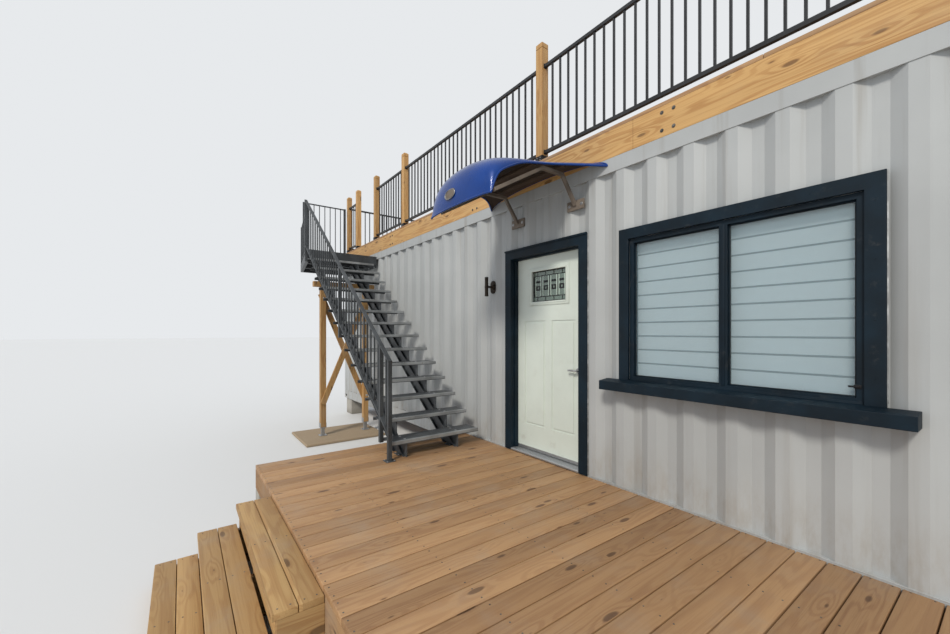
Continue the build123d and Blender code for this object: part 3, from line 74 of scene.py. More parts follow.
class CabinSizes(bpy.types.PropertyGroup):
    """Sizes of the pieces that are modelled here."""

    porch_board: metres("Porch board", "Width of one board of the porch deck", 0.1365, 0.05)
    board_gap: metres("Board gap", "Gap between neighbouring deck boards", 0.007, 0.001)
    board_round: metres("Board edge", "Rounding of a deck board's long edges", 0.004, 0.0005)
    roof_board: metres("Roof board", "Width of one board of the roof deck", 0.136, 0.05)
    screw_radius: metres("Screw head", "Radius of the deck screws' heads", 0.0045, 0.001)
    bolt_radius: metres("Rim bolt", "Radius of the bolt heads in the roof's rim", 0.0088, 0.002)
    came_width: metres("Lead strip", "Width of the strips in the door light", 0.007, 0.002)
    blind_bands: IntProperty(
        name="Blind bands", description="Number of bands in the lowered window blind",
        default=10, min=2)
    hood_skin: metres("Hood skin", "Thickness of the hood's painted sheet", 0.006, 0.001)


def colour(name, description, value):
    """A colour property with this name, description and default."""
    return FloatVectorProperty(
        name=name, description=description, default=value, size=3, min=0, max=1,
        subtype="COLOR")


class CabinColours(bpy.types.PropertyGroup):
    """Main colours of the finishes."""

    wall: colour("Wall paint", "Light paint on the container", (0.395, 0.408, 0.405))
    trim: colour("Trim paint", "Dark paint on the trims and frames", (0.0027, 0.0100, 0.0175))
    door: colour("Door paint", "Pale paint on the entry door", (0.61, 0.665, 0.60))
    hood: colour("Hood paint", "Glossy paint on the hood", (0.002, 0.034, 0.185))
    hood_lining: colour("Hood lining", "Underside of the hood", (0.055, 0.034, 0.021))
    pine: colour("Pine", "Clear finished rim, posts and trestle", (0.545, 0.325, 0.120))
    cedar: colour("Cedar", "Oiled boards of porch and roof", (0.375, 0.218, 0.102))
    step: colour("Step boards", "Light stained boards of the steps", (0.445, 0.275, 0.110))
    stair: colour("Stair steel", "Dark grey paint on stair and landing", (0.044, 0.049, 0.053))
    concrete: colour("Concrete", "Cast foundation blocks", (0.36, 0.34, 0.30))


# Shader nodes written as expressions

# How far a pattern slides on each axis for each unit of its shift
SLIDES = (31.0, 17.0, 23.0)


class Value:
    """A shader socket; arithmetic on it adds the Math nodes that work it out."""

    def __init__(self, finish, socket):
        self.finish = finish
        self.socket = socket

    def math(self, operation, *others):
        """Add one Math node to this value and the others."""
        node = self.finish.add("ShaderNodeMath", {"operation": operation})
        for place, value in enumerate((self, *others)):
            self.finish.feed(node.inputs[place], value)
        return Value(self.finish, node.outputs[0])

    def __add__(self, other):
        return self.math("ADD", other)

    def __mul__(self, other):
        return self.math("MULTIPLY", other)

    def __sub__(self, other):
        return self.math("SUBTRACT", other)

    def __rsub__(self, other):
        return self * -1 + other

    __radd__ = __add__
    __rmul__ = __mul__

    def ramp(self, low, high):
        """0 below low and 1 above high, and the other way round when low is the larger."""
        node = self.finish.add("ShaderNodeMapRange", {"interpolation_type": "SMOOTHSTEP"})
        for place, value in enumerate((self, low, high, 0.0, 1.0)):
            self.finish.feed(node.inputs[place], value)
        return Value(self.finish, node.outputs[0])


class Finish:
    """A material and the nodes that are added to it."""

    def __init__(self, name, **constants):
        self.material = bpy.data.materials.new(name)
        self.material.use_nodes = True
        self.nodes = self.material.node_tree.nodes
        self.links = self.material.node_tree.links
        self.shader = self.nodes["Principled BSDF"]
        self.place = self.add("ShaderNodeTexCoord").outputs["Object"]
        self.x, self.y, self.z = self.split(self.place)
        for socket, value in constants.items():
            self.shader.inputs[socket.replace("_", " ")].default_value = value

    def feed(self, socket, value):
        """Link or set one input socket."""
        if isinstance(value, Value):
            value = value.socket
        if isinstance(value, bpy.types.NodeSocket):
            self.links.new(value, socket)
        elif hasattr(value, "__len__") and len(socket.default_value) == 4:
            socket.default_value = (*value[:3], 1)
        else:
            socket.default_value = value

    def add(self, kind, settings=None, **sockets):
        """Add a node: its settings first, then its sockets' values or links."""
        node = self.nodes.new(kind)
        for name, value in (settings or {}).items():
            setattr(node, name, value)
        for name, value in sockets.items():
            self.feed(node.inputs[name], value)
        return node

    def split(self, vector):
        """The three parts of a vector."""
        parts = self.add("ShaderNodeSeparateXYZ", Vector=vector).outputs
        return [Value(self, parts[axis]) for axis in range(3)]

    def stretched(self, factors, shift=None):
        """The place in the object, scaled on each axis and then shifted."""
        node = self.add("ShaderNodeVectorMath", {"operation": "MULTIPLY"})
        self.feed(node.inputs[0], self.place)
        self.feed(node.inputs[1], factors if hasattr(factors, "__len__") else (factors,) * 3)
        if shift is None:
            return node.outputs[0]
        slides = {axis: shift * slide for axis, slide in zip("XYZ", SLIDES)}
        vector = self.add("ShaderNodeCombineXYZ", **slides)
        moved = self.add("ShaderNodeVectorMath", {"operation": "ADD"})
        self.feed(moved.inputs[0], node.outputs[0])
        self.feed(moved.inputs[1], vector.outputs[0])
        return moved.outputs[0]

    def noise(self, factors, detail=3.0, roughness=0.55, distortion=0.0, shift=None):
        """Smooth noise, stretched by the factors on each axis."""
        node = self.add(
            "ShaderNodeTexNoise", Vector=self.stretched(factors, shift), Scale=1.0,
            Detail=detail, Roughness=roughness, Distortion=distortion)
        return Value(self, node.outputs[0])

    def cells(self, factors):
        """Distance to the nearest of scattered points."""
        node = self.add("ShaderNodeTexVoronoi", Vector=self.stretched(factors), Scale=1.0)
        return Value(self, node.outputs["Distance"])

    def random(self, value):
        """A random number from 0 to 1 that is the same for equal values."""
        node = self.add("ShaderNodeTexWhiteNoise", {"noise_dimensions": "1D"}, W=value)
        return Value(self, node.outputs["Value"])

    def mix(self, share, first, second, blend="MIX"):
        """Mix two colours."""
        node = self.add("ShaderNodeMix", {"data_type": "RGBA", "blend_type": blend})
        for place, value in ((0, share), (6, first), (7, second)):
            self.feed(node.inputs[place], value)
        return node.outputs[2]

    def mottle(self, share, tone, dark, light):
        """A colour that goes from its darker to its lighter shade with the share."""
        return self.mix(share, shade(tone, dark), shade(tone, light))

    def layers(self, body, *coats):
        """Lay colours over the body one after the other, each by its share."""
        for share, coat in coats:
            body = self.mix(share, body, coat)
        return body

    def dress(self, base, roughness, height, depth=0.001, strength=1.0, **others):
        """Feed the shader; height is a relief whose full range is depth metres."""
        bump = self.add("ShaderNodeBump", Height=height, Distance=depth, Strength=strength)
        inputs = {"Base Color": base, "Roughness": roughness, "Normal": bump.outputs[0]}
        inputs.update((name.replace("_", " "), value) for name, value in others.items())
        for name, value in inputs.items():
            self.feed(self.shader.inputs[name], value)
        return self.material


def shade(tone, factor):
    """A colour made lighter or darker by a factor."""
    return tuple(min(part * factor, 1.0) for part in tone[:3])


# Finishes: a noise's first argument is how many of its waves go into a metre

DUST, STAIN, RUST = (0.27, 0.22, 0.16), (0.20, 0.17, 0.13), (0.16, 0.070, 0.030)
# Heights from where dust begins to where it is thick, and the same for streaks of water
DUSTY, STREAKY = (0.95, 0.5), (2.3, 3.12)


def painted_sheet(name, tone):
    """Satin paint on sheet steel, with faint streaks, dust low down and a fine orange peel."""
    finish = Finish(name, Specular_IOR_Level=0.45)
    cloud = finish.noise(0.9, detail=4.0)
    streak = finish.noise((9.0, 9.0, 0.35), detail=4.0, roughness=0.6)
    speck = finish.noise(55.0, detail=2.0)
    rub = finish.noise((14.0, 14.0, 5.0), detail=5.0, roughness=0.7)
    high, low = finish.z.ramp(*STREAKY), finish.z.ramp(*DUSTY)
    streaks = streak.ramp(0.52, 0.74) * (0.16 + high * 0.34 + low * 0.24)
    dust = low * rub.ramp(0.35, 0.75) * 0.42
    chips = rub.ramp(0.735, 0.765) * speck.ramp(0.42, 0.5)
    body = finish.layers(
        finish.mottle(cloud.ramp(0.35, 0.7), tone, 0.93, 1.06),
        (streaks, STAIN), (dust, DUST), (chips * 0.75, RUST))
    peel = finish.noise(260.0, detail=1.0) * 0.22 + finish.noise(7.0, detail=2.0) * 0.6
    rough = 0.42 + cloud * 0.16 + dust * 0.4 + chips * 0.3
    return finish.dress(body, rough, peel, depth=0.0035, strength=0.35)


def brushed_paint(name, tone, gloss=0.48):
    """Dark satin paint with faint brush marks, dust and a few rubbed spots."""
    finish = Finish(name, Specular_IOR_Level=0.22)
    cloud = finish.noise(5.0, detail=4.0)
    marks = finish.noise((160.0, 160.0, 6.0), detail=2.0)
    dust = finish.noise(17.0, detail=6.0, roughness=0.65)
    body = finish.layers(
        finish.mottle(cloud.ramp(0.3, 0.75), tone, 0.8, 1.5),
        (dust.ramp(0.55, 0.85) * 0.22, (0.17, 0.165, 0.15)))
    rough = gloss + cloud * 0.12 + dust.ramp(0.5, 0.85) * 0.28
    return finish.dress(body, rough, marks * 0.5 + cloud * 0.5, depth=0.0006, strength=0.5)


def timber(name, tone, dark, along, boards, gloss, silver, figure=1.0, turned=None):
    """Sawn timber with rings, fibres and knots, and silver as the share that is weathered.

    along is the grain's axis, boards is (axis, first edge, pitch), and figure is how strongly
    the grain shows. turned is (axis, low, high): outside that span the grain's X and Y change
    places.
    """
    finish = Finish(name)
    if turned:
        axis, low, high = turned
        spot = getattr(finish, axis)
        beyond = (low - spot).ramp(0.0, 0.0005) + (spot - high).ramp(0.0, 0.0005)
        other = finish.add("ShaderNodeCombineXYZ", X=finish.y, Y=finish.x, Z=finish.z)
        swapped = finish.add("ShaderNodeMix", {"data_type": "VECTOR"})
        for place, value in ((0, beyond), (4, finish.place), (5, other.outputs[0])):
            finish.feed(swapped.inputs[place], value)
        finish.place = swapped.outputs[1]
    axis, first, pitch = boards
    chance = finish.random(((getattr(finish, axis) - first) * (1.0 / pitch)).math("FLOOR"))
    coarse = [0.45 if letter == along else 6.5 for letter in "xyz"]
    fine = [2.6 if letter == along else 150.0 for letter in "xyz"]
    sides = dict(zip("xyz", finish.split(finish.place)))
    length = sides.pop(along)
    one, other = sides.values()
    flat = finish.add(
        "ShaderNodeCombineXYZ", X=length * 1.7 + chance * SLIDES[0],
        Y=(one + other) * 5.2 + chance * SLIDES[1])
    spots = finish.add(
        "ShaderNodeTexVoronoi", {"voronoi_dimensions": "2D"}, Vector=flat.outputs[0], Scale=1.0)
    eye = Value(finish, spots.outputs["Distance"])
    size = finish.random(finish.split(spots.outputs["Position"])[0]) * 0.11
    knot = (size - eye).ramp(-0.012, 0.03) * 0.75
    grain = finish.noise(coarse, detail=2.5, distortion=0.35, shift=chance)
    rings = ((grain + eye.ramp(0.34, 0.0) * 0.16) * 62.0).math("SINE") * 0.5 + 0.5
    fibre = finish.noise(fine, detail=3.0, roughness=0.7, shift=chance)
    drift = finish.noise(coarse, detail=1.0, shift=chance * 3.0)
    worn = finish.noise(2.2, detail=5.0, roughness=0.65)
    body = finish.layers(
        tone, (rings.ramp(0.25, 0.95) * (0.55 * figure), dark),
        (fibre.ramp(0.45, 0.72) * (0.42 * figure), shade(dark, 0.72)),
        (drift.ramp(0.3, 0.75) * 0.45, shade(tone, 1.22)), (knot, shade(dark, 0.34)))
    board_tint = finish.mix(chance, (0.80, 0.78, 0.76), (1.14, 1.15, 1.16))
    body = finish.mix(1.0, body, board_tint, "MULTIPLY")
    body = finish.mix(worn.ramp(0.45, 0.78) * silver, body, (0.33, 0.29, 0.235))
    rough = gloss + fibre * 0.16 + worn * 0.08
    relief = rings * 0.35 + fibre * 0.75 - knot * 0.4
    return finish.dress(body, rough, relief, depth=0.0016, strength=0.55)


def dark_steel(name, tone, wear=0.5, gloss=0.42):
    """Painted steel section with scuffs that show a lighter grey."""
    finish = Finish(name, Metallic=0.25)
    cloud = finish.noise(3.5, detail=4.0)
    scuff = finish.noise(42.0, detail=6.0, roughness=0.75)
    rust = finish.noise(16.0, detail=5.0).ramp(0.66, 0.74)
    body = finish.layers(
        finish.mottle(cloud.ramp(0.3, 0.7), tone, 0.75, 1.45),
        (scuff.ramp(0.58, 0.72) * wear, (0.23, 0.235, 0.24)),
        (rust * wear * 0.7, (0.15, 0.062, 0.025)))
    rough = gloss + scuff * 0.18 + rust * 0.3
    return finish.dress(body, rough, scuff, depth=0.0008, strength=0.4)


def tread_plate(name, tone):
    """Worn stair tread: raised lozenges and a scuffed, dusty walking surface."""
    finish = Finish(name, Metallic=0.3)
    pitch = 2 * math.pi / 0.030
    first = ((finish.x + finish.y) * pitch).math("SINE")
    second = ((finish.x - finish.y) * pitch).math("SINE")
    lozenge = (first * second).math("ABSOLUTE").ramp(0.62, 0.9)
    scuff = finish.noise((24.0, 9.0, 24.0), detail=6.0, roughness=0.7)
    dust = finish.noise(5.0, detail=5.0).ramp(0.5, 0.75)
    body = finish.layers(
        finish.mottle(scuff.ramp(0.35, 0.7), tone, 0.9, 2.0),
        (lozenge * 0.5, (0.26, 0.265, 0.27)), (dust * 0.30, (0.20, 0.195, 0.18)))
    relief = lozenge + scuff * 0.3
    return finish.dress(body, 0.40 + scuff * 0.25, relief, depth=0.0016, strength=0.8)


def bare_zinc(name):
    """Zinc coated steel with its faint spangle."""
    finish = Finish(name, Metallic=0.9)
    spangle = finish.cells(160.0)
    cloud = finish.noise(9.0, detail=4.0)
    body = finish.layers(
        finish.mottle(spangle.ramp(0.1, 0.6), (0.42, 0.43, 0.44), 0.9, 1.08),
        (cloud.ramp(0.55, 0.8) * 0.25, (0.25, 0.24, 0.22)))
    return finish.dress(body, 0.34 + cloud * 0.25, spangle, depth=0.0003, strength=0.3)


def rough_concrete(name, tone):
    """Cast concrete with pores, stains and a rough skin; the pores are darkened as painted shade.
    """
    finish = Finish(name)
    cloud = finish.noise(2.4, detail=6.0, roughness=0.6)
    grit = finish.noise(85.0, detail=4.0, roughness=0.7)
    # Pores: sunk by the bump, and darkened in colour as painted shade in their hollows
    shaded_pores = finish.cells(34.0).ramp(0.16, 0.05)
    damp = finish.z.ramp(0.16, 0.0) * cloud.ramp(0.25, 0.65)
    body = finish.layers(
        finish.mottle(cloud.ramp(0.3, 0.72), tone, 0.78, 1.18),
        (grit.ramp(0.45, 0.75) * 0.4, shade(tone, 0.62)), (shaded_pores * 0.7, shade(tone, 0.36)),
        (damp * 0.5, (0.13, 0.11, 0.08)))
    relief = grit * 0.6 + cloud * 0.4 - shaded_pores * 0.8
    return finish.dress(body, 0.82 + grit * 0.12, relief, depth=0.004, strength=0.6)


def car_paint(name, tone):
    """Glossy metallic car paint under clear coat, a little dusty on top."""
    finish = Finish(
        name, Metallic=0.1, Specular_IOR_Level=0.2, Coat_IOR=1.3, Coat_Roughness=0.06)
    cloud = finish.noise(2.6, detail=4.0)
    flake = finish.noise(420.0, detail=1.0)
    dust = finish.noise(7.0, detail=6.0, roughness=0.65)
    body = finish.layers(
        finish.mottle(cloud.ramp(0.25, 0.75), tone, 0.85, 1.3),
        (flake.ramp(0.6, 0.8) * 0.2, shade(tone, 1.8)),
        (dust.ramp(0.55, 0.85) * 0.08, (0.20, 0.22, 0.26)))
    rough = 0.26 + dust.ramp(0.4, 0.85) * 0.2
    return finish.dress(body, rough, cloud, depth=0.004, strength=0.12, Coat_Weight=0.45)


def lining_felt(name, tone):
    """Dull brown undercoat on the inside of the hood."""
    finish = Finish(name)
    nap = finish.noise(190.0, detail=3.0)
    cloud = finish.noise(4.0, detail=5.0)
    body = finish.layers(
        finish.mottle(cloud.ramp(0.3, 0.75), tone, 0.7, 1.35),
        (nap.ramp(0.4, 0.75) * 0.35, shade(tone, 1.9)))
    return finish.dress(body, 0.72 + nap * 0.2, nap, depth=0.0012, strength=0.6)


def door_enamel(name, tone):
    """Smooth pale door paint with an embossed wood grain, and smudges that dull it and gather
    towards the foot.
    """
    finish = Finish(name, Specular_IOR_Level=0.5)
    grain = finish.noise((85.0, 30.0, 2.4), detail=4.0, roughness=0.65, distortion=0.3)
    cloud = finish.noise(1.7, detail=4.0)
    smudge = finish.noise(9.0, detail=5.0)
    foot = finish.z.ramp(*DUSTY)
    body = finish.layers(
        finish.mottle(cloud.ramp(0.3, 0.7), tone, 0.95, 1.05),
        (smudge.ramp(0.55, 0.8) * (0.10 + foot * 0.35), (0.33, 0.31, 0.25)))
    return finish.dress(body, 0.34 + smudge * 0.15, grain, depth=0.0009, strength=0.35)


def pane(name, tone, clear, dimple=0.0, sheen=0.03):
    """Clear or textured glass: clear is what shows through, dimple a pressed pattern's depth."""
    finish = Finish(name, Specular_IOR_Level=0.9, Coat_Weight=1.0, Coat_Roughness=0.02)
    haze = finish.noise(3.0, detail=5.0)
    ripple = finish.noise(26.0, detail=3.0) + finish.cells(60.0) * 0.6
    body = finish.mix(haze.ramp(0.3, 0.8) * 0.4, tone, shade(tone, 1.25))
    return finish.dress(
        body, haze.ramp(0.5, 0.9) * 0.06 + sheen, ripple, depth=max(dimple, 0.0004),
        strength=0.9 if dimple else 0.10, Alpha=1 - clear)


def pleated_cloth(name, tone):
    """Woven translucent blind cloth with fine threads."""
    finish = Finish(name, Sheen_Weight=0.25)
    threads = 2 * math.pi / 0.0011
    weft, warp = ((side * threads).math("SINE") for side in (finish.z, finish.x))
    slub = finish.noise((30.0, 30.0, 420.0), detail=3.0)
    body = finish.layers(
        tone, (slub.ramp(0.4, 0.75) * 0.4, shade(tone, 0.86)),
        (finish.noise(1.4, detail=3.0).ramp(0.35, 0.7) * 0.3, shade(tone, 0.9)))
    return finish.dress(body, 0.88, weft * warp * 0.5 + slub, depth=0.0005, strength=0.4)


def plain_metal(name, tone, gloss=0.4, metal=0.6):
    """Small metal fittings: cast skin with a faint grain and handled edges."""
    finish = Finish(name, Metallic=metal)
    skin = finish.noise(130.0, detail=3.0)
    cloud = finish.noise(18.0, detail=5.0)
    body = finish.mottle(cloud.ramp(0.4, 0.75), tone, 0.8, 1.7)
    return finish.dress(body, gloss + cloud * 0.2, skin, depth=0.0004, strength=0.4)


def sheet_board(name, tone, axis, pitch, first, wood_grain=False):
    """Painted or clear finished board with a fine open joint every pitch metres."""
    finish = Finish(name)
    along = (getattr(finish, axis) - first) * (1.0 / pitch)
    joint = ((along - along.math("ROUND")).math("ABSOLUTE") * pitch).ramp(0.0035, 0.0012)
    cloud = finish.noise(1.3, detail=4.0)
    skin = finish.noise(150.0, detail=2.0)
    body = finish.mottle(cloud.ramp(0.3, 0.7), tone, 0.95, 1.05)
    if wood_grain:
        grain = finish.noise((3.0, 26.0, 26.0), detail=4.0, distortion=0.5)
        rings = (grain * 50.0).math("SINE") * 0.5 + 0.5
        body = finish.mix(rings * 0.35, body, shade(tone, 0.6))
    body = finish.mix(joint * 0.85, body, shade(tone, 0.3))
    return finish.dress(body, 0.55 + skin * 0.15, skin * 0.3 - joint, depth=0.002, strength=0.5)


def black_rubber(name):
    """Matt black rubber of seals and feet."""
    finish = Finish(name)
    grit = finish.noise(120.0, detail=4.0)
    body = finish.mix(grit.ramp(0.4, 0.8), (0.010, 0.010, 0.011), (0.035, 0.034, 0.032))
    return finish.dress(body, 0.65 + grit * 0.2, grit, depth=0.0006, strength=0.5)


FINISHES = {}
# The dark of each timber's rings and knots
RING = {
    "rim": (0.33, 0.135, 0.028), "post": (0.36, 0.15, 0.03), "trestle": (0.30, 0.13, 0.035),
    "cedar": (0.21, 0.090, 0.038), "roof": (0.20, 0.085, 0.036), "step": (0.27, 0.12, 0.035),
    "framing": (0.16, 0.075, 0.03),
}
# Axis, pitch and first place of the joints between the boards of the room
ROOM_SHEETS, CEILING_SHEETS = ("x", 1.22, -6.1), ("y", 0.61, 0.3)


def make_finishes():
    """Make every finish once, from the colours in the sidebar."""
    tones = bpy.context.scene.cabin_colours
    sizes = bpy.context.scene.cabin_sizes
    porch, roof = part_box("porch_deck")[0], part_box("roof_deck")[0]
    gap = sizes.board_gap
    FINISHES.update(
        wall=painted_sheet("wall_paint", tones.wall),
        underbody=dark_steel("underfloor_paint", (0.02, 0.02, 0.021), wear=0.2),
        trim=brushed_paint("navy_trim", tones.trim),
        door=door_enamel("door_paint", tones.door),
        hood=car_paint("hood_paint", tones.hood),
        hood_lining=lining_felt("hood_lining", tones.hood_lining),
        bracket=brushed_paint("bracket_steel", (0.14, 0.115, 0.092), gloss=0.5),
        rim=timber(
            "golden_pine_rim", tones.pine, RING["rim"], "x", ("y", 0.0, 0.9), 0.42, 0.12,
            turned=("x", LEFT + RIM_BOARD, RIGHT - RIM_BOARD)),
        post=timber(
            "golden_pine_post", tones.pine, RING["post"], "z", ("x", 0.03, 0.31), 0.42, 0.1),
        trestle=timber(
            "golden_pine_trestle", shade(tones.pine, 0.82), RING["trestle"], "z",
            ("y", -0.2, 0.31), 0.5, 0.25),
        cedar=timber(
            "cedar_board", tones.cedar, RING["cedar"], "y",
            ("x", porch.x - gap / 2, sizes.porch_board + gap), 0.5, 0.3, figure=0.62),
        roof_cedar=timber(
            "roof_board", tones.cedar, RING["roof"], "x",
            ("y", roof.y - gap / 2, sizes.roof_board + gap), 0.6, 0.45),
        step=timber(
            "tan_board", tones.step, RING["step"], "x", ("y", 0.03, 0.127), 0.55, 0.3,
            figure=0.7),
        framing=timber(
            "frame_timber", (0.33, 0.19, 0.085), RING["framing"], "y", ("x", 0.15, 2.44), 0.7,
            0.4, turned=("y", porch.y + RIM_BOARD, FRONT - RIM_BOARD)),
        carriage=timber(
            "step_carriage", tones.step, RING["step"], "y", ("x", 0.03, 0.4), 0.55, 0.3),
        stair=dark_steel("stair_steel", tones.stair),
        tread=tread_plate("stair_tread", tones.stair),
        railing=dark_steel("railing_steel", (0.017, 0.018, 0.020), wear=0.3, gloss=0.34),
        zinc=bare_zinc("galvanised_steel"),
        black=plain_metal("dark_metal", (0.015, 0.015, 0.017)),
        nosing=dark_steel("tread_nosing", (0.24, 0.25, 0.25), wear=0.8, gloss=0.35),
        steel=plain_metal("hinge_steel", (0.33, 0.33, 0.33), metal=0.95, gloss=0.3),
        bronze=plain_metal("lamp_bronze", (0.035, 0.027, 0.020), metal=0.7),
        screw=plain_metal("screw_steel", (0.13, 0.125, 0.115), metal=0.8, gloss=0.45),
        glass=pane("clear_glass", (0.25, 0.36, 0.40), clear=0.76),
        lite_glass=pane("pressed_glass", (0.13, 0.19, 0.15), 0.25, dimple=0.003, sheen=0.2),
        bevel_glass=pane("bevel_glass", (0.42, 0.52, 0.44), 0.1, dimple=0.001, sheen=0.12),
        blind=pleated_cloth("blind_fabric", (0.62, 0.72, 0.75)),
        # Dark cloth for the strips behind the blind's band joints: painted shade between the bands
        blind_seam=pleated_cloth("blind_seam", (0.15, 0.19, 0.20)),
        ply=sheet_board("floor_plywood", (0.40, 0.235, 0.11), *ROOM_SHEETS, wood_grain=True),
        lining=sheet_board("room_lining", (0.66, 0.645, 0.60), *ROOM_SHEETS),
        ceiling=sheet_board("ceiling_board", (0.70, 0.69, 0.66), *CEILING_SHEETS),
        concrete=rough_concrete("concrete", tones.concrete),
        pad=rough_concrete("pad_concrete", (0.45, 0.335, 0.215)),
        caulk=plain_metal("caulk_line", (0.36, 0.365, 0.36), metal=0.0, gloss=0.6),
        rubber=black_rubber("black_rubber"),
    )


# Modelling helpers


def deselect():
    """Leave edit mode and deselect everything."""
    if bpy.context.mode != "OBJECT":
        bpy.ops.object.mode_set(mode="OBJECT")
    bpy.ops.object.select_all(action="DESELECT")


def only(piece):
    """Select one object alone and make it active, in object mode."""
    deselect()
    piece.select_set(True)
    bpy.context.view_layer.objects.active = piece


def start(name):
    """Make an empty mesh piece at the origin and open it in edit mode."""
    deselect()
    bpy.ops.object.add(type="MESH", location=(0, 0, 0))
    piece = bpy.context.object
    piece.name = piece.data.name = name
    bpy.ops.object.mode_set(mode="EDIT")
    return piece


def stick(low, high, turn=(0, 0, 0)):
    """Add a straight bar to the open piece: it fills low to high, then turns about its middle."""
    middle = [(a + b) / 2 for a, b in zip(low, high)]
    size = [abs(b - a) for a, b in zip(low, high)]
    bpy.ops.mesh.primitive_cube_add(size=1, location=middle, rotation=turn, scale=size)


def rod(middle, radius, length, axis="Z", sides=16):
    """Add a round bar to the open piece."""
    turn = {"X": (0, math.pi / 2, 0), "Y": (-math.pi / 2, 0, 0), "Z": (0, 0, 0)}[axis]
    bpy.ops.mesh.primitive_cone_add(
        vertices=sides, radius1=radius, radius2=radius, depth=length, location=middle,
        rotation=turn)


def run(first, last, radius):
    """Add a thin round line to the open piece, between two places along one axis."""
    spans = [abs(b - a) for a, b in zip(first, last)]
    axis = spans.index(max(spans))
    rod([(a + b) / 2 for a, b in zip(first, last)], radius, spans[axis], "XYZ"[axis], 8)


def border(left, foot, right, head, near, far, wide, lap=0.0, facing="Y"):
    """Add four bars inside the edge of an upright rectangle, from the depth near to far.

    The level bars lie between the upright ones, and reach over them by lap. The rectangle
    faces along Y, with left and right on X, or along X, with them on Y.
    """
    inner_left, inner_right = left + wide - lap, right - wide + lap
    for start_at, end_at, low, high in (
            (left, left + wide, foot, head), (right - wide, right, foot, head),
            (inner_left, inner_right, foot, foot + wide),
            (inner_left, inner_right, head - wide, head)):
        if facing == "Y":
            stick((start_at, near, low), (end_at, far, high))
        else:
            stick((near, start_at, low), (far, end_at, high))


def pad(x, y, half, low, high, turn=(0, 0, 0)):
    """Add a square plate to the open piece, about an upright line and from low to high."""
    stick((x - half, y - half, low), (x + half, y + half, high), turn)


def modify(piece, kind, apply=True, **settings):
    """Add a modifier with these settings to the piece, and apply it unless told not to."""
    modifier = piece.modifiers.new(kind.lower(), kind)
    for name, value in settings.items():
        setattr(modifier, name, value)
    if apply:
        bpy.ops.object.modifier_apply(modifier=modifier.name)


def round_edges(piece, width, segments, angle, apply=True):
    """Bevel the edges that are sharper than the angle in degrees."""
    modify(piece, "BEVEL", apply, width=width, segments=segments, limit_method="ANGLE",
           angle_limit=math.radians(angle))


def paint(piece, *finishes):
    """Give the piece these finishes in place of what it has."""
    piece.data.materials.clear()
    for finish in finishes:
        piece.data.materials.append(FINISHES[finish])


def declare(piece, body="cabin", slot=None, replaced=None):
    """Let the piece ride on its body, and hide the CAD node it replaces. The slot is not used."""
    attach(piece, body)
    if replaced:
        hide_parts(replaced)


@contextmanager
def new_piece(name, finish, edge=0.0, segments=2, angle=35, copies=(), **riding):
    """Open a piece for the with block to draw, then round its edges, copy it and paint it.

    edge is the width of the rounded edges. copies are pairs of a count and a step, and each
    pair repeats what the one before it made.
    """
    piece = start(name)
    yield
    only(piece)
    if edge:
        round_edges(piece, edge, segments, angle)
        bpy.ops.object.shade_smooth_by_angle(angle=math.radians(angle))
    for count, step in copies:
        modify(piece, "ARRAY", count=count, use_relative_offset=False, use_constant_offset=True,
               constant_offset_displace=step)
    deselect()
    paint(piece, finish)
    declare(piece, **riding)


def bolt_heads(name, places, axis, radius, finish, height=0.6, washer=0.0):
    """Hexagon heads on faces that look along axis, such as -Y, each on a washer where asked."""
    outward = Vector([float(letter == axis[-1]) for letter in "XYZ"])
    if axis[0] == "-":
        outward.negate()
    with new_piece(name, finish, radius * 0.14, 1, 40):
        for place in places:
            at = Vector(place)
            if washer:
                rod(at + outward * washer / 2, radius * 1.65, washer, axis[-1], 14)
            middle = at + outward * (washer + radius * height / 2)
            rod(middle, radius, radius * height, axis[-1], 6)


def deck_screws(name, places, sides=8, copies=()):
    """Flat screw heads at places on the boards of a deck or a step."""
    radius = bpy.context.scene.cabin_sizes.screw_radius
    with new_piece(name, "screw", copies=copies):
        for x, y, top in places:
            rod((x, y, top + SKIM), radius, 0.0012, sides=sides)


# Places that several pieces share

FRONT, BACK = (corner.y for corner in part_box("top_rails"))
LEFT, RIGHT = (corner.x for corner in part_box("roof_deck"))
PORCH_TOP, ROOF_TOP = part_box("porch_deck")[1].z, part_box("roof_deck")[1].z
DOOR_LOW, DOOR_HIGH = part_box("entry_door")
# The door's flat faces lie this far inside its mouldings; each has the way that it looks along Y
MOULDING = 0.009
DOOR_FACES = ((DOOR_LOW.y + MOULDING, -1), (DOOR_HIGH.y - MOULDING, 1))
# Thickness of a deck's outer boards, width of the door's trim, and the hair's breadth by which
# a screw head stands off its surface
RIM_BOARD, TRIM_WIDTH, SKIM = 0.045, 0.094, 0.0002


def across(distance):
    """X of a place measured from the container's left end."""
    return LEFT + distance


def out(distance):
    """Y of a place measured outwards from the container's front face."""
    return FRONT - distance


def up(height):
    """Z of a place measured from the porch deck's surface."""
    return PORCH_TOP + height


# The roof's posts in front and at the back, the bay that the landing leads to, half a post's
# width, and the heights of the railing's two rails
POST_ROWS = (
    (out(-0.075), [across(place) for place in (0.075, 0.64, 1.61, 2.81, 5.95, 9.07, 12.117)]),
    (BACK - 0.075, [across(0.075 + bay * 3.0105) for bay in range(5)]),
)
ACCESS_BAY = (0, 1)
POST_HALF = 0.0445
RAIL_HEIGHTS = (ROOF_TOP + 0.085, ROOF_TOP + 0.960)

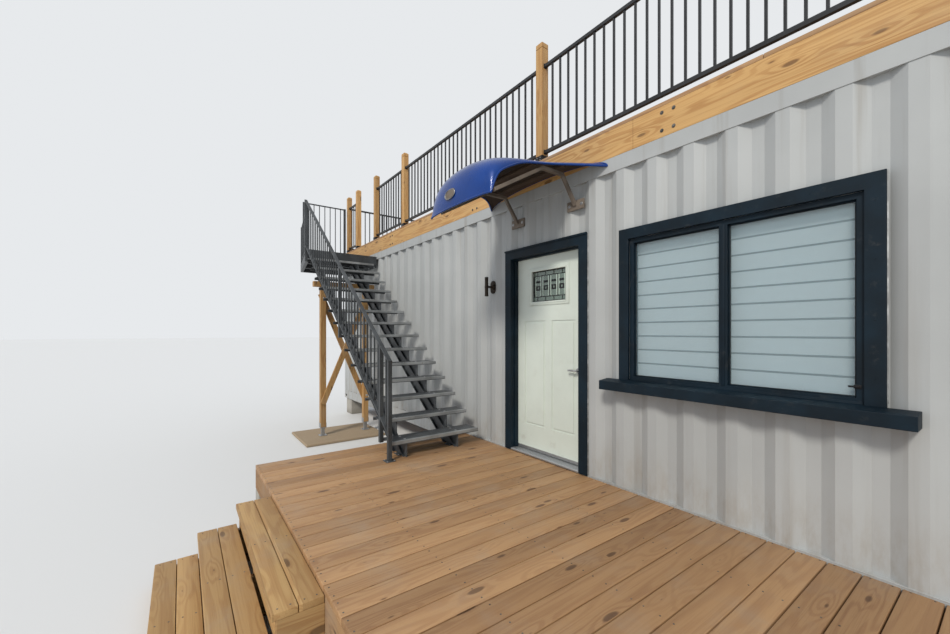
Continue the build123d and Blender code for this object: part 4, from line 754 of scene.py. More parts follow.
# The CAD nodes that keep their shape, by finish and by the width of their rounded edges
NODE_FINISHES = {
    "wall": "corner_posts corner_castings bottom_rails top_rails roof_sheet front_wall back_wall"
            " left_end_wall cargo_doors",
    "underbody": "floor_cross_members", "ply": "floor", "ceiling": "ceiling",
    "lining": "lining_front_left lining_over_door lining_front_right lining_back lining_ends",
    "zinc": "cargo_lock_rods door_threshold trestle_feet", "steel": "door_hinges",
    "trim": "door_frame door_trim window_frame window_trim window_sill",
    "door": "entry_door", "lite_glass": "door_glass", "glass": "window_glass",
    "bracket": "hood_brackets", "rim": "roof_rim", "framing": "roof_joists porch_frame",
    "post": "roof_posts", "black": "roof_post_bases", "carriage": "step_carriages",
    "railing": "roof_railing_front roof_railing_back roof_railing_ends",
    "concrete": "foundation_blocks", "tread": "stair_treads", "pad": "trestle_pad",
    "stair": "stair_stringers stair_guard landing_platform landing_guard_outer"
             " landing_guard_end",
    "trestle": "trestle_beam trestle_posts trestle_braces",
}
ROUNDED_NODES = {
    0.0025: "door_trim window_trim window_frame",
    0.003: "window_sill step_carriages porch_frame bottom_rails top_rails",
    0.004: "roof_rim roof_posts trestle_braces hood_brackets",
    0.005: "trestle_beam trestle_posts", 0.006: "corner_castings", 0.008: "corner_posts",
    0.012: "foundation_blocks trestle_pad",
}


class CABIN_OT_frame_finishes(bpy.types.Operator):
    """Give every CAD node that keeps its shape its finish and its rounded edges"""

    bl_idname = "cabin.frame_finishes"
    bl_label = "Frame finishes"

    def execute(self, context):
        make_finishes()
        for finish, nodes in NODE_FINISHES.items():
            for node in nodes.split():
                paint(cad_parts[node], finish)
        for width, nodes in ROUNDED_NODES.items():
            for node in nodes.split():
                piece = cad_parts[node]
                modify(piece, "WELD", apply=False, merge_threshold=0.00005)
                round_edges(piece, width, 2, 40, apply=False)
        return {"FINISHED"}


# The photograph's camera: its place, its look, and its lens in pixels of the frame
CAMERA_PLACE, CAMERA_LOOK = (2.804, -2.6045, 1.763), (-0.809, 0.588, 0)
FRAME_WIDTH, FOCAL_LENGTH, HORIZON_SHIFT = 950, 404, 15
SENSOR_WIDTH, NEAREST, FURTHEST = 36, 0.05, 300
SUN_PLACE, SUN_LOOK = (6, -10, 12), (-3.6, 6.6, -6.4)
SUN_STRENGTH, SUN_SOFTNESS, SUN_TONE = 2.2, math.radians(12), (1.0, 0.95, 0.87)
FLOOR_RADIUS, FLOOR_DROP, FLOOR_TONE = 140, 0.002, (0.70, 0.70, 0.69, 1)
# Colour and strength of the world as it lights the scene, and as the camera sees it
LIT_SKY, SEEN_SKY = ((0.80, 0.86, 0.95, 1), 0.78), ((0.80, 0.82, 0.84, 1), 1.0)


class CABIN_OT_stage(bpy.types.Operator):
    """Set the pale floor, the sun, the pale world and the camera at the photograph's angle"""

    bl_idname = "cabin.stage"
    bl_label = "Stage"

    def execute(self, context):
        deselect()
        bpy.ops.mesh.primitive_circle_add(
            vertices=96, radius=FLOOR_RADIUS, fill_type="NGON", location=(0, 0, -FLOOR_DROP))
        floor = bpy.context.object
        floor.name = floor.data.name = "studio_floor"
        bpy.ops.object.transform_apply(location=True)
        ground = Finish("studio_floor", Base_Color=FLOOR_TONE, Roughness=0.9)
        floor.data.materials.append(ground.material)
        world = bpy.data.worlds.new("studio")
        context.scene.world = world
        world.use_nodes = True
        nodes, links = world.node_tree.nodes, world.node_tree.links
        lighting, shown = nodes["Background"], nodes.new("ShaderNodeBackground")
        for node, (tone, strength) in ((lighting, LIT_SKY), (shown, SEEN_SKY)):
            node.inputs["Color"].default_value = tone
            node.inputs["Strength"].default_value = strength
        path, mix = nodes.new("ShaderNodeLightPath"), nodes.new("ShaderNodeMixShader")
        seen = path.outputs["Is Camera Ray"]
        for ray in ("Is Glossy Ray", "Is Transmission Ray"):
            total = nodes.new("ShaderNodeMath")
            total.use_clamp = True
            links.new(seen, total.inputs[0])
            links.new(path.outputs[ray], total.inputs[1])
            seen = total.outputs[0]
        for place, socket in enumerate((seen, lighting.outputs[0], shown.outputs[0])):
            links.new(socket, mix.inputs[place])
        links.new(mix.outputs[0], nodes["World Output"].inputs[0])
        deselect()
        bpy.ops.object.light_add(type="SUN", location=SUN_PLACE)
        sun = bpy.context.object
        sun.data.energy, sun.data.angle, sun.data.color = SUN_STRENGTH, SUN_SOFTNESS, SUN_TONE
        aim(sun, SUN_LOOK)
        bpy.ops.object.camera_add(location=CAMERA_PLACE)
        camera = bpy.context.object
        camera.name = "photo_camera"
        camera.data.sensor_width = SENSOR_WIDTH
        camera.data.lens = FOCAL_LENGTH / FRAME_WIDTH * SENSOR_WIDTH
        camera.data.shift_y = HORIZON_SHIFT / FRAME_WIDTH
        camera.data.clip_start, camera.data.clip_end = NEAREST, FURTHEST
        aim(camera, CAMERA_LOOK)
        context.scene.camera = camera
        context.scene.view_settings.view_transform = "Standard"
        return {"FINISHED"}


def aim(lamp_or_camera, direction):
    """Turn a lamp or the camera to look along the direction, upright."""
    lamp_or_camera.rotation_euler = Vector(direction).to_track_quat("-Z", "Y").to_euler()


class CABIN_OT_container_details(bpy.types.Operator):
    """Run the weld beads along the rails and posts of the container"""

    bl_idname = "cabin.container_details"
    bl_label = "Container details"

    def execute(self, context):
        low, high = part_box("front_wall")
        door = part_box("door_frame")
        radius, post, sunk = 0.0035, 0.07, 0.001
        front, back = FRONT + 0.002, BACK - 0.0036
        whole = (low.x + post, high.x - post)
        beside_door = (whole[0], door[0].x - post), (door[1].x + post, whole[1])
        with new_piece("weld_beads", "wall", 0.0005, 1, 60):
            for y, spans in ((front, beside_door), (back, [whole])):
                for x0, x1 in spans:
                    run((x0, y, low.z + sunk), (x1, y, low.z + sunk), radius)
                run((whole[0], y, high.z - sunk), (whole[1], y, high.z - sunk), radius)
            for x, y in product((low.x, high.x), (front + 0.001, back)):
                run((x, y, low.z), (x, y, high.z), radius)
        return {"FINISHED"}


class CABIN_OT_porch_boards(bpy.types.Operator):
    """Lay the porch deck board by board and drive its screws"""

    bl_idname = "cabin.porch_boards"
    bl_label = "Porch boards"

    def execute(self, context):
        sizes = context.scene.cabin_sizes
        low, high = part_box("porch_deck")
        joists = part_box("porch_frame")
        reach = high.x - low.x + sizes.board_gap
        count = round(reach / (sizes.porch_board + sizes.board_gap))
        step = (reach / count, 0, 0)
        width = step[0] - sizes.board_gap
        with new_piece("porch_boards", "cedar", sizes.board_round, 3, copies=[(count, step)],
                       slot="cedar_board", replaced="porch_deck"):
            stick(low, (low.x + width, high.y - 0.004, high.z))
        bays, joist, inset = 4, 0.038, 0.028
        row = (0, (joists[1].y - joists[0].y - joist) / bays, 0)
        places = [(low.x + x, low.y + joist / 2, high.z) for x in (inset, width - inset)]
        deck_screws("porch_screws", places, copies=[(count, step), (bays + 1, row)])
        return {"FINISHED"}


class CABIN_OT_porch_steps(bpy.types.Operator):
    """Build the steps from two boards a tread, with closing boards between them"""

    bl_idname = "cabin.porch_steps"
    bl_label = "Porch steps"

    def execute(self, context):
        low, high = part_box("porch_steps")
        going, rise, thick, gap, inset = 0.243, 0.150, 0.038, 0.004, 0.03
        porch_edge = out(2.340)
        # The closing boards: how far in at the ends, thickness, overlap below, lowest edge
        end, board, overlap, lowest = 0.040, 0.024, 0.003, 0.004
        screws = []
        with new_piece("porch_step_boards", "step", 0.004, 3, slot="tan_board",
                       replaced="porch_steps"):
            for number in range(3):
                top = high.z - number * rise
                front = porch_edge - going * (number + 1)
                back = front + going + (gap if number else -0.002)
                middle = (front + back) / 2
                for near, far in ((front, middle - gap / 2), (middle + gap / 2, back)):
                    stick((low.x, near, top - thick), (high.x, far, top))
                    screws += product(
                        (low.x + inset, (low.x + high.x) / 2, high.x - inset),
                        (near + inset, far - inset), [top])
                riser = front + thick / 2
                stick((low.x + end, riser, top - thick - 0.002),
                      (high.x - end, riser + board, max(top - rise + overlap, lowest)))
        deck_screws("porch_step_screws", screws)
        return {"FINISHED"}


class CABIN_OT_roof_boards(bpy.types.Operator):
    """Lay the roof deck in rows of boards with staggered joints"""

    bl_idname = "cabin.roof_boards"
    bl_label = "Roof boards"

    def execute(self, context):
        sizes = context.scene.cabin_sizes
        low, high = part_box("roof_deck")
        reach = high.y - low.y + sizes.board_gap
        count = round(reach / (sizes.roof_board + sizes.board_gap))
        step = reach / count
        width = step - sizes.board_gap
        joint = 0.0015
        cuts = ((0.0, 0.30, 0.65, 1.0), (0.0, 0.20, 0.50, 0.85, 1.0), (0.0, 0.40, 0.75, 1.0))
        with new_piece("roof_boards", "roof_cedar", sizes.board_round * 0.8,
                       slot="cedar_board", replaced="roof_deck"):
            for row in range(count):
                edge = low.y + row * step
                ends = [low.x + cut * (high.x - low.x) for cut in cuts[row % len(cuts)]]
                for first, last in zip(ends, ends[1:]):
                    stick((first + joint, edge, low.z), (last - joint, edge + width, high.z))
        joists, spacing, inset = 19, 0.6096, 0.03
        places = [(low.x + spacing, low.y + y, high.z) for y in (inset, width - inset)]
        copies = [(joists, (spacing, 0, 0)), (count, (0, step, 0))]
        deck_screws("roof_deck_screws", places, sides=6, copies=copies)
        return {"FINISHED"}


class CABIN_OT_roof_hardware(bpy.types.Operator):
    """Bolt the rim, seat the railing's ends on the posts and screw down the post bases"""

    bl_idname = "cabin.roof_hardware"
    bl_label = "Roof hardware"

    def execute(self, context):
        low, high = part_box("roof_rim")
        board, beside, inset = 2.4384, 0.045, 0.05
        bolts = [
            (low.x + number * board + side, low.y - 0.0005, z)
            for number in range(1, 5)
            for side, z in product((-beside, beside), (low.z + inset, high.z - inset))]
        bolt_heads("rim_bolts", bolts, "-Y", context.scene.cabin_sizes.bolt_radius, "screw",
                   washer=0.002)
        # A saddle is a plate on the post and, on a long side, two lugs beside the rail
        thick, half, below, above, lug = 0.004, 0.024, 0.008, 0.038, 0.022
        with new_piece("railing_saddles", "railing", 0.0012, 1):
            for row, (y, posts) in enumerate(POST_ROWS):
                for bay, (first, last) in enumerate(zip(posts, posts[1:])):
                    if (row, bay) == ACCESS_BAY:
                        continue
                    left, right = first + POST_HALF, last - POST_HALF - thick
                    for (x, lug_x), z in product(
                            ((left, left + thick), (right, right - lug)), RAIL_HEIGHTS):
                        stick((x, y - half, z - below), (x + thick, y + half, z + above))
                        for side in (-0.0185, 0.0155):
                            stick((lug_x, y + side, z), (lug_x + lug, y + side + 0.003, z + 0.03))
            (front, posts), (back, _) = POST_ROWS
            ends = (front + POST_HALF, back - POST_HALF - thick)
            for x, y, z in product((posts[0], posts[-1]), ends, RAIL_HEIGHTS):
                stick((x - half, y, z - below), (x + half, y + thick, z + above))
        face, spread, heights = 0.0485, 0.022, (0.022, 0.046)
        screws = [
            (x + side, y - face, ROOF_TOP + height)
            for y, posts in POST_ROWS
            for x, height, side in product(posts, heights, (-spread, spread))]
        bolt_heads("post_base_screws", screws, "-Y", 0.0055, "zinc")
        return {"FINISHED"}


class CABIN_OT_doorway(bpy.types.Operator):
    """Fit the doorway with its drip, weather seal and threshold ribs, and caulk both trims"""

    bl_idname = "cabin.doorway"
    bl_label = "Doorway fittings"

    def execute(self, context):
        low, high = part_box("door_trim")
        window_low, window_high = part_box("window_trim")
        caulked = ((low, high, 0.0), (window_low, window_high, 0.02))
        y, bead = FRONT + 0.0005, 0.0045
        with new_piece("trim_caulk_lines", "caulk", 0.0005, 1, 60):
            for near, far, foot in caulked:
                for x in (near.x, far.x):
                    run((x, y, near.z + foot), (x, y, far.z), bead)
            for near, far, _ in caulked:
                run((near.x, y, far.z), (far.x, y, far.z), bead)
        with new_piece("door_head_drip", "trim", 0.0015):
            lip, over, thick, hang = low.y - 0.010, low.y + 0.012, 0.004, 0.012
            stick((low.x, lip, high.z - thick), (high.x, over, high.z + 0.006))
            stick((low.x, lip, high.z - hang), (high.x, lip + thick, high.z))
        left, right, top = low.x + TRIM_WIDTH, high.x - TRIM_WIDTH, high.z - TRIM_WIDTH
        near = DOOR_FACES[0][0] - 0.0048
        far = near + 0.0030
        with new_piece("door_weather_seal", "rubber", 0.001, 1):
            for x0, x1 in ((left + 0.001, left + 0.010), (right - 0.010, right - 0.001)):
                stick((x0, near, DOOR_LOW.z + 0.02), (x1, far, top - 0.012))
            stick((left + 0.012, near, top - 0.011), (right - 0.012, far, top - 0.001))
        sill_low, sill_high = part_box("door_threshold")
        ribs, first, pitch, rib = 5, 0.022, 0.011, 0.0045
        with new_piece("threshold_ribs", "zinc", 0.0008, 1):
            for number in range(ribs):
                y = sill_low.y + first + number * pitch
                stick((sill_low.x + 0.002, y, sill_high.z - 0.001),
                      (sill_high.x - 0.002, y + rib, sill_high.z + 0.0018))
        screws = product(
            (low.x + TRIM_WIDTH / 2, high.x - TRIM_WIDTH / 2), [low.y - SKIM],
            [up(height) for height in (0.12, 0.62, 1.12, 1.62, 2.08)])
        bolt_heads("door_trim_screws", screws, "-Y", 0.0048, "trim", height=0.3)
        return {"FINISHED"}


class CABIN_OT_door_light(bpy.types.Operator):
    """Lead the small panes of the entry door's light, inside its moulded frame"""

    bl_idname = "cabin.door_light"
    bl_label = "Leaded door light"

    def execute(self, context):
        strip = context.scene.cabin_sizes.came_width
        low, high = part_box("door_glass")
        width, height = high.x - low.x, high.z - low.z
        thick, tall = strip / width, strip / height
        # Shares of the light's width and height
        side, foot, head, margin = 0.05, 0.165, 0.845, 0.03
        dividers, ties = (0.265, 0.5, 0.735), (0.14, 0.38, 0.62, 0.86)
        middles = (0.1575, 0.3825, 0.6175, 0.8425)
        # The strips in one pane: left and right from its middle, foot and head
        motif = (
            (-0.068, -0.006, 0.615, 0.685), (0.006, 0.068, 0.615, 0.685),
            (-0.02, 0.02, 0.638, 0.662), (-0.070, 0.070, 0.375, 0.415),
            (-0.070, 0.070, 0.485, 0.525), (-0.070, -0.026, 0.415, 0.485),
            (0.026, 0.070, 0.415, 0.485))

        def panels(x0, x1, z0, z1, proud=0.0030):
            """Lay one strip or tile over shares of the light, on both faces of the glass."""
            for near, far in (
                    (low.y - proud, low.y - 0.0001), (high.y + 0.0001, high.y + proud)):
                stick((low.x + x0 * width, near, low.z + z0 * height),
                      (low.x + x1 * width, far, low.z + z1 * height))

        with new_piece("door_light_leading", "black", 0.0009, 1, body="door"):
            edge_x, edge_z = thick * 1.8, tall * 1.6
            panels(0, 1, 0, edge_z)
            panels(0, 1, 1 - edge_z, 1)
            panels(0, edge_x, edge_z, 1 - edge_z)
            panels(1 - edge_x, 1, edge_z, 1 - edge_z)
            for level in (foot, head):
                panels(side, 1 - side, level - tall / 2, level + tall / 2)
            for place in (side, *dividers, 1 - side):
                panels(place - thick * 0.8, place + thick * 0.8, foot, head)
            for place, (z0, z1) in product(ties, ((head, 1 - margin), (margin, foot))):
                panels(place - thick / 2, place + thick / 2, z0, z1)
            for middle, (x0, x1, z0, z1) in product(middles, motif):
                panels(middle + x0, middle + x1, z0, z1)
        with new_piece("door_light_bevels", "bevel_glass", 0.0012, body="door"):
            tiles = [(side, 1, 3.0), (1 - side, -3.0, -1)]
            tiles += [(place, *reach) for place in dividers for reach in ((-3.2, -1), (1, 3.2))]
            for place, near, far in tiles:
                panels(place + thick * near, place + thick * far, foot + tall, head - tall, 0.0022)
        with new_piece("door_light_beading", "door", 0.0025, body="door", slot="door_paint"):
            # Inner edge, outer edge and height of each step of the moulding
            steps = ((-0.002, 0.014, 0.013), (0.014, 0.034, 0.008), (0.034, 0.040, 0.0045))
            for (face, way), (inner, outer, proud) in product(DOOR_FACES, steps):
                border(low.x - outer, low.z - outer, high.x + outer, high.z + outer,
                       face - way * 0.001, face + way * proud, outer - inner)
        return {"FINISHED"}


class CABIN_OT_door_lever(bpy.types.Operator):
    """Shape the lever handle with its rose on both sides of the door, and its edge plate"""

    bl_idname = "cabin.door_lever"
    bl_label = "Door lever"

    def execute(self, context):
        low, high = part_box("door_lever")
        x, z = high.x - 0.027, (low.z + high.z) / 2
        front, back = (face for face, _ in DOOR_FACES)
        with new_piece("door_lever_set", "steel", 0.0030, 3, body="door", slot="dark_metal",
                       replaced="door_lever"):
            for face, way in DOOR_FACES:
                # Rose, collar, spindle and its end: distance out, radius, length and sides
                for reach, radius, length, sides in (
                        (0.004, 0.0265, 0.008, 40), (0.009, 0.021, 0.004, 40),
                        (0.028, 0.0095, 0.038, 24), (0.0508, 0.0055, 0.002, 16)):
                    rod((x, face + way * reach, z), radius, length, "Y", sides)
                y = face + way * 0.0415
                # Neck and grip: left and right end, reach to each side, and half the height
                for left, right, near, far, half in (
                        (-0.030, 0.011, 0.0085, 0.0085, 0.0095),
                        (-0.098, -0.028, 0.0060, 0.0065, 0.0085)):
                    stick((x + left, y - near, z - half), (x + right, y + far, z + half))
        with new_piece("door_latch_plate", "steel", 0.0008, 1, body="door"):
            # Plate and bolt: how deep and how proud, inset at each face, and half the height
            for deep, proud, near, far, half in (
                    (0.001, 0.0012, 0.010, 0.010, 0.028), (0, 0.0045, 0.016, 0.017, 0.009)):
                stick((DOOR_HIGH.x - deep, front + near, z - half),
                      (DOOR_HIGH.x + proud, back - far, z + half))
        with new_piece("door_bottom_seal", "zinc", 0.0008, 1, body="door"):
            stick((DOOR_LOW.x + 0.006, front - 0.003, DOOR_LOW.z + 0.001),
                  (DOOR_HIGH.x - 0.006, front + 0.001, DOOR_LOW.z + 0.030))
        return {"FINISHED"}


class CABIN_OT_window_sash(bpy.types.Operator):
    """Fit the panes with beads and gaskets, and the frame with tracks, latches and screws"""

    bl_idname = "cabin.window_sash"
    bl_label = "Window sash"

    def execute(self, context):
        low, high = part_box("window_frame")
        glass_low, glass_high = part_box("window_glass")
        middle, mullion = (low.x + high.x) / 2, 0.0265
        bead, rubber = 0.007, 0.003
        panes = ((glass_low.x, middle - mullion), (middle + mullion, glass_high.x))
        with new_piece("window_sash", "trim", 0.002, slot="navy_trim"):
            faces = ((glass_low.y - bead, glass_low.y), (glass_high.y, glass_high.y + bead))
            for (left, right), (near, far) in product(panes, faces):
                border(left, glass_low.z, right, glass_high.z, near, far, bead)
            # Two tracks along the foot, and the strip where the sashes meet
            front = low.y + 0.001
            stick((low.x + 0.006, low.y - 0.003, low.z + 0.006),
                  (high.x - 0.006, front, low.z + 0.016))
            stick((low.x, low.y - 0.006, low.z - 0.001), (high.x, front, low.z + 0.009))
            stick((middle - 0.012, low.y - 0.004, low.z + 0.03),
                  (middle + 0.012, front, high.z - 0.03))
        with new_piece("window_gaskets", "rubber", 0.0008, 1):
            for left, right in panes:
                border(left + bead, glass_low.z + bead, right - bead, glass_high.z - bead,
                       glass_low.y - 0.0025, glass_low.y, rubber, lap=rubber)
        with new_piece("window_latch", "black", 0.0015):
            # The catch between the sashes inside, and the small lever outside
            z = (low.z + high.z) / 2
            stick((middle - 0.010, high.y - 0.001, z - 0.04),
                  (middle + 0.010, high.y + 0.004, z + 0.04))
            stick((middle - 0.006, high.y + 0.002, z - 0.006),
                  (middle + 0.006, high.y + 0.009, z + 0.03))
            z = low.z + 0.095
            stick((high.x - 0.044, low.y - 0.004, z - 0.010), (high.x - 0.012, front, z + 0.010))
            stick((high.x - 0.066, low.y - 0.010, z - 0.005),
                  (high.x - 0.022, low.y - 0.003, z + 0.005))
        trim_low, trim_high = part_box("window_trim")
        y, inset, size = trim_low.y - SKIM, 0.042, trim_high - trim_low
        screws = [
            (x, y, trim_low.z + share * size.z)
            for x in (trim_low.x + inset, trim_high.x - inset)
            for share in (0.12, 0.37, 0.63, 0.88)]
        screws += [
            (trim_low.x + share * size.x, y, trim_high.z - inset)
            for share in (0.2, 0.4, 0.6, 0.8)]
        bolt_heads("window_trim_screws", screws, "-Y", 0.0048, "trim", height=0.3)
        return {"FINISHED"}


class CABIN_OT_window_blind(bpy.types.Operator):
    """Hang the lowered blind: overlapping cloth bands, dark strips behind their joints as painted
    shade, a head box and a weight bar
    """

    bl_idname = "cabin.window_blind"
    bl_label = "Window blind"

    def execute(self, context):
        low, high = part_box("window_blind")
        count = context.scene.cabin_sizes.blind_bands
        foot_rail, both_rails = 0.022, 0.045
        pitch = (high.z - low.z - both_rails) / count
        copies = [(count, (0, 0, pitch))]
        y, z = (low.y + high.y) / 2, low.z + foot_rail
        with new_piece("window_blind_bands", "blind", 0.0005, 1, copies=copies,
                       slot="blind_fabric", replaced="window_blind"):
            stick((low.x + 0.004, y - 0.0006, z + 0.009), (high.x - 0.004, y + 0.0006, z + pitch),
                  (math.atan2(0.0030, pitch), 0, 0))
        # Dark strips behind the joints of the bands, painted shade between them
        with new_piece("window_blind_seams", "blind_seam", 0.0005, 1, copies=copies):
            stick((low.x + 0.003, y + 0.0002, z - 0.004), (high.x - 0.003, y + 0.0026, z + 0.013))
        with new_piece("window_blind_rails", "blind", 0.0015):
            for inset, foot, top in (
                    (0.002, high.z - 0.028, high.z - 0.002), (0.004, low.z + 0.004, low.z + 0.021)):
                stick((low.x + inset, low.y, foot), (high.x - inset, high.y, top))
        return {"FINISHED"}


class CABIN_OT_wall_lamp(bpy.types.Operator):
    """Build the wall lamp: back plate, arm, and an upright tube with a lens at each end"""

    bl_idname = "cabin.wall_lamp"
    bl_label = "Wall lamp"

    def execute(self, context):
        low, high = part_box("wall_lamp")
        x, z = (low.x + high.x) / 2, (low.z + high.z) / 2
        wall, tube_y = high.y, low.y + 0.022
        plate, thick, rise, tube, collar = 0.0445, 0.012, 0.030, 0.020, 0.0215
        with new_piece("wall_lamp_body", "bronze", 0.0022, slot="lamp_bronze",
                       replaced="wall_lamp"):
            # A plate with round ends, then boss, arm, tube, collars and the plate's two screws
            for level in (z + rise, z - rise):
                rod((x, wall - thick / 2, level), plate, thick, "Y", 40)
            stick((x - plate, wall - thick, z - rise), (x + plate, wall, z + rise))
            rod((x, wall - 0.016, z), 0.032, 0.014, "Y", 40)
            rod((x, (tube_y + wall) / 2, z), 0.013, wall - tube_y - 0.010, "Y", 24)
            rod((x, tube_y, z), tube, 0.190, "Z", 32)
            for level, length in ((z - 0.101, 0.016), (z + 0.101, 0.016), (z, 0.030)):
                rod((x, tube_y, level), collar, length, "Z", 32)
            for level in (z - 0.058, z + 0.058):
                rod((x, wall - 0.0135, level), 0.004, 0.004, "Y", 12)
        with new_piece("wall_lamp_lenses", "bevel_glass", 0.002):
            for level in (z - 0.1095, z + 0.1095):
                rod((x, tube_y, level), 0.0165, 0.006, "Z", 32)
        return {"FINISHED"}


# One arch of the hood: its distance from the wall, half its width, the height of its two ends,
# how far its crown rises over them, and how many degrees it leans outwards
Arch = namedtuple("Arch", "reach half ends rise lean")
ARCHES = (
    Arch(0.0, 0.790, 2.690, 0.115, 0), Arch(0.2, 0.605, 2.714, 0.090, 0),
    Arch(0.4, 0.500, 2.708, 0.078, 0), Arch(0.65, 0.474, 2.668, 0.104, 8),
    Arch(0.813, 0.465, 2.600, 0.158, 25), Arch(0.927, 0.460, 2.520, 0.134, 50),
    Arch(0.990, 0.455, 2.362, 0.036, 80),
)
HOOD_MIDDLE = across(6.0)
HOOD_EDGE_RADIUS = 0.0085
OVAL_PLACE = Vector((-0.150, -0.7265, 2.955))
OVAL_TURN = (math.radians(88), math.radians(-14), 0)
OVAL_SIZE, RING_STRETCH = (0.076, 0.039, 0.007), (0.077, 0.08, 0.041)
BRACKETS_MIDDLE, BRACKET_REACH = across(6.065), 0.39


def smooth(a, b, c, d, share):
    """The value at this share of the way from b to c, on a smooth curve through all four."""
    bend = 2 * a - 5 * b + 4 * c - d + share * (3 * b - a - 3 * c + d)
    return b + 0.5 * share * (c - a + share * bend)


def with_arches_between(arches, steps):
    """The arches, with smoothly changing ones that part each gap into as many steps."""
    padded = (arches[0], *arches, arches[-1])
    full = [
        Arch(*(smooth(*values, step / steps) for values in zip(*four)))
        for four in zip(padded, padded[1:], padded[2:], padded[3:])
        for step in range(steps)]
    return [*full, arches[-1]]


def centre_of(arch):
    """Middle of the line between the two ends of an arch."""
    return Vector((HOOD_MIDDLE, out(arch.reach), up(arch.ends)))


def fix_order():
    """Number the corners, edges and faces of the open piece by distance from the cursor."""
    bpy.ops.mesh.select_all(action="SELECT")
    bpy.ops.mesh.sort_elements(type="CURSOR_DISTANCE", elements={"VERT", "EDGE", "FACE"})


def lean(degrees, centre):
    """Turn what is selected about a level line along the wall, through the centre."""
    bpy.ops.transform.rotate(
        value=math.radians(degrees), orient_axis="X", center_override=centre)


class CABIN_OT_hood(bpy.types.Operator):
    """Draw the hood from arch to arch, thicken it and roll its edge"""

    bl_idname = "cabin.hood"
    bl_label = "Hood"

    def execute(self, context):
        hood = start("hood_shell")
        before = ARCHES[0]
        centre = centre_of(before)
        bpy.ops.mesh.primitive_circle_add(
            vertices=48, radius=1, location=centre, rotation=(math.pi / 2, 0, 0))
        bpy.ops.mesh.select_all(action="SELECT")
        bpy.ops.mesh.bisect(
            plane_co=centre - Vector((0, 0, 0.001)), plane_no=(0, 0, 1), clear_inner=True)
        bpy.ops.mesh.select_mode(type="EDGE")
        bpy.ops.mesh.select_all(action="SELECT")
        bpy.ops.transform.resize(
            value=(before.half, 1, before.rise), center_override=centre, orient_type="GLOBAL")
        for arch in with_arches_between(ARCHES, 3)[1:]:
            bpy.ops.mesh.extrude_edges_move()
            lean(before.lean, centre)
            bpy.ops.transform.resize(
                value=(arch.half / before.half, 1, arch.rise / before.rise),
                center_override=centre)
            lean(-arch.lean, centre)
            bpy.ops.transform.translate(value=centre_of(arch) - centre)
            before, centre = arch, centre_of(arch)
        fix_order()
        bpy.ops.mesh.normals_make_consistent(inside=False)
        only(hood)
        modify(hood, "SUBSURF", levels=1, render_levels=1)
        faces_down = sum(face.normal.z for face in hood.data.polygons) < 0
        bpy.ops.object.mode_set(mode="EDIT")
        if faces_down:
            bpy.ops.mesh.select_all(action="SELECT")
            bpy.ops.mesh.flip_normals()
        bpy.ops.mesh.select_mode(type="EDGE")
        bpy.ops.mesh.select_all(action="DESELECT")
        bpy.ops.mesh.select_non_manifold()
        bpy.ops.mesh.duplicate()
        bpy.ops.mesh.separate(type="SELECTED")
        bpy.ops.object.mode_set(mode="OBJECT")
        edge = next(piece for piece in context.selected_objects if piece is not hood)
        only(edge)
        edge.name = edge.data.name = "hood_rolled_edge"
        bpy.ops.object.mode_set(mode="EDIT")
        fix_order()
        bpy.ops.object.mode_set(mode="OBJECT")
        bpy.ops.object.convert(target="CURVE")
        edge.data.bevel_depth, edge.data.bevel_resolution = HOOD_EDGE_RADIUS, 3
        bpy.ops.object.convert(target="MESH")
        bpy.ops.object.shade_smooth()
        paint(edge, "hood")
        declare(edge, slot="hood_paint")
        only(hood)
        paint(hood, "hood", "hood_lining")
        modify(hood, "SOLIDIFY", thickness=context.scene.cabin_sizes.hood_skin, offset=-1,
               material_offset=1, material_offset_rim=0)
        bpy.ops.object.shade_smooth_by_angle(angle=math.radians(40))
        declare(hood, slot="hood_paint", replaced="hood")
        return {"FINISHED"}


class CABIN_OT_hood_fittings(bpy.types.Operator):
    """Add the hood's plain oval, its inner ribs and the bolts of its brackets"""

    bl_idname = "cabin.hood_fittings"
    bl_label = "Hood fittings"

    def execute(self, context):
        with new_piece("hood_oval", "bracket", 0.0025, 3):
            bpy.ops.mesh.primitive_cylinder_add(
                vertices=56, radius=1, depth=1, location=OVAL_PLACE, rotation=OVAL_TURN,
                scale=OVAL_SIZE)
        with new_piece("hood_oval_ring", "steel"):
            bpy.ops.mesh.primitive_torus_add(
                major_segments=56, minor_segments=10, major_radius=1.0, minor_radius=0.07,
                location=OVAL_PLACE, rotation=OVAL_TURN)
            bpy.ops.transform.resize(value=RING_STRETCH, center_override=OVAL_PLACE)
            bpy.ops.object.mode_set(mode="OBJECT")
            bpy.ops.object.shade_smooth()
        wide, deep = 0.044, 0.026
        with new_piece("hood_ribs", "hood_lining", 0.005):
            # Distance from the wall, half the width, and height of the underside
            for reach, half, height in ((0.22, 0.51, 2.722), (0.50, 0.425, 2.702)):
                stick((HOOD_MIDDLE - half, out(reach + wide / 2), up(height)),
                      (HOOD_MIDDLE + half, out(reach - wide / 2), up(height + deep)))
        bolts = [
            (BRACKETS_MIDDLE + side + inset, out(0.0125), up(2.44))
            for side, inset in product((-BRACKET_REACH, BRACKET_REACH), (-0.07, 0.07))]
        bolt_heads("bracket_bolts", bolts, "-Y", 0.009, "zinc", washer=0.0025)
        return {"FINISHED"}


# The stair, from the container's left end and the porch deck's surface, and its stringers, out
# from the front face
STAIR_FOOT, STAIR_RISE, STAIR_GOING, STAIR_TREADS = 5.150, 0.178, 0.240, 14
STRINGERS, STAIR_GUARD = (0.420, 1.050), 1.246
GUARD_POSTS, GUARD_HEIGHT = (STAIR_FOOT, 4.940, 3.600, 1.830), 0.830


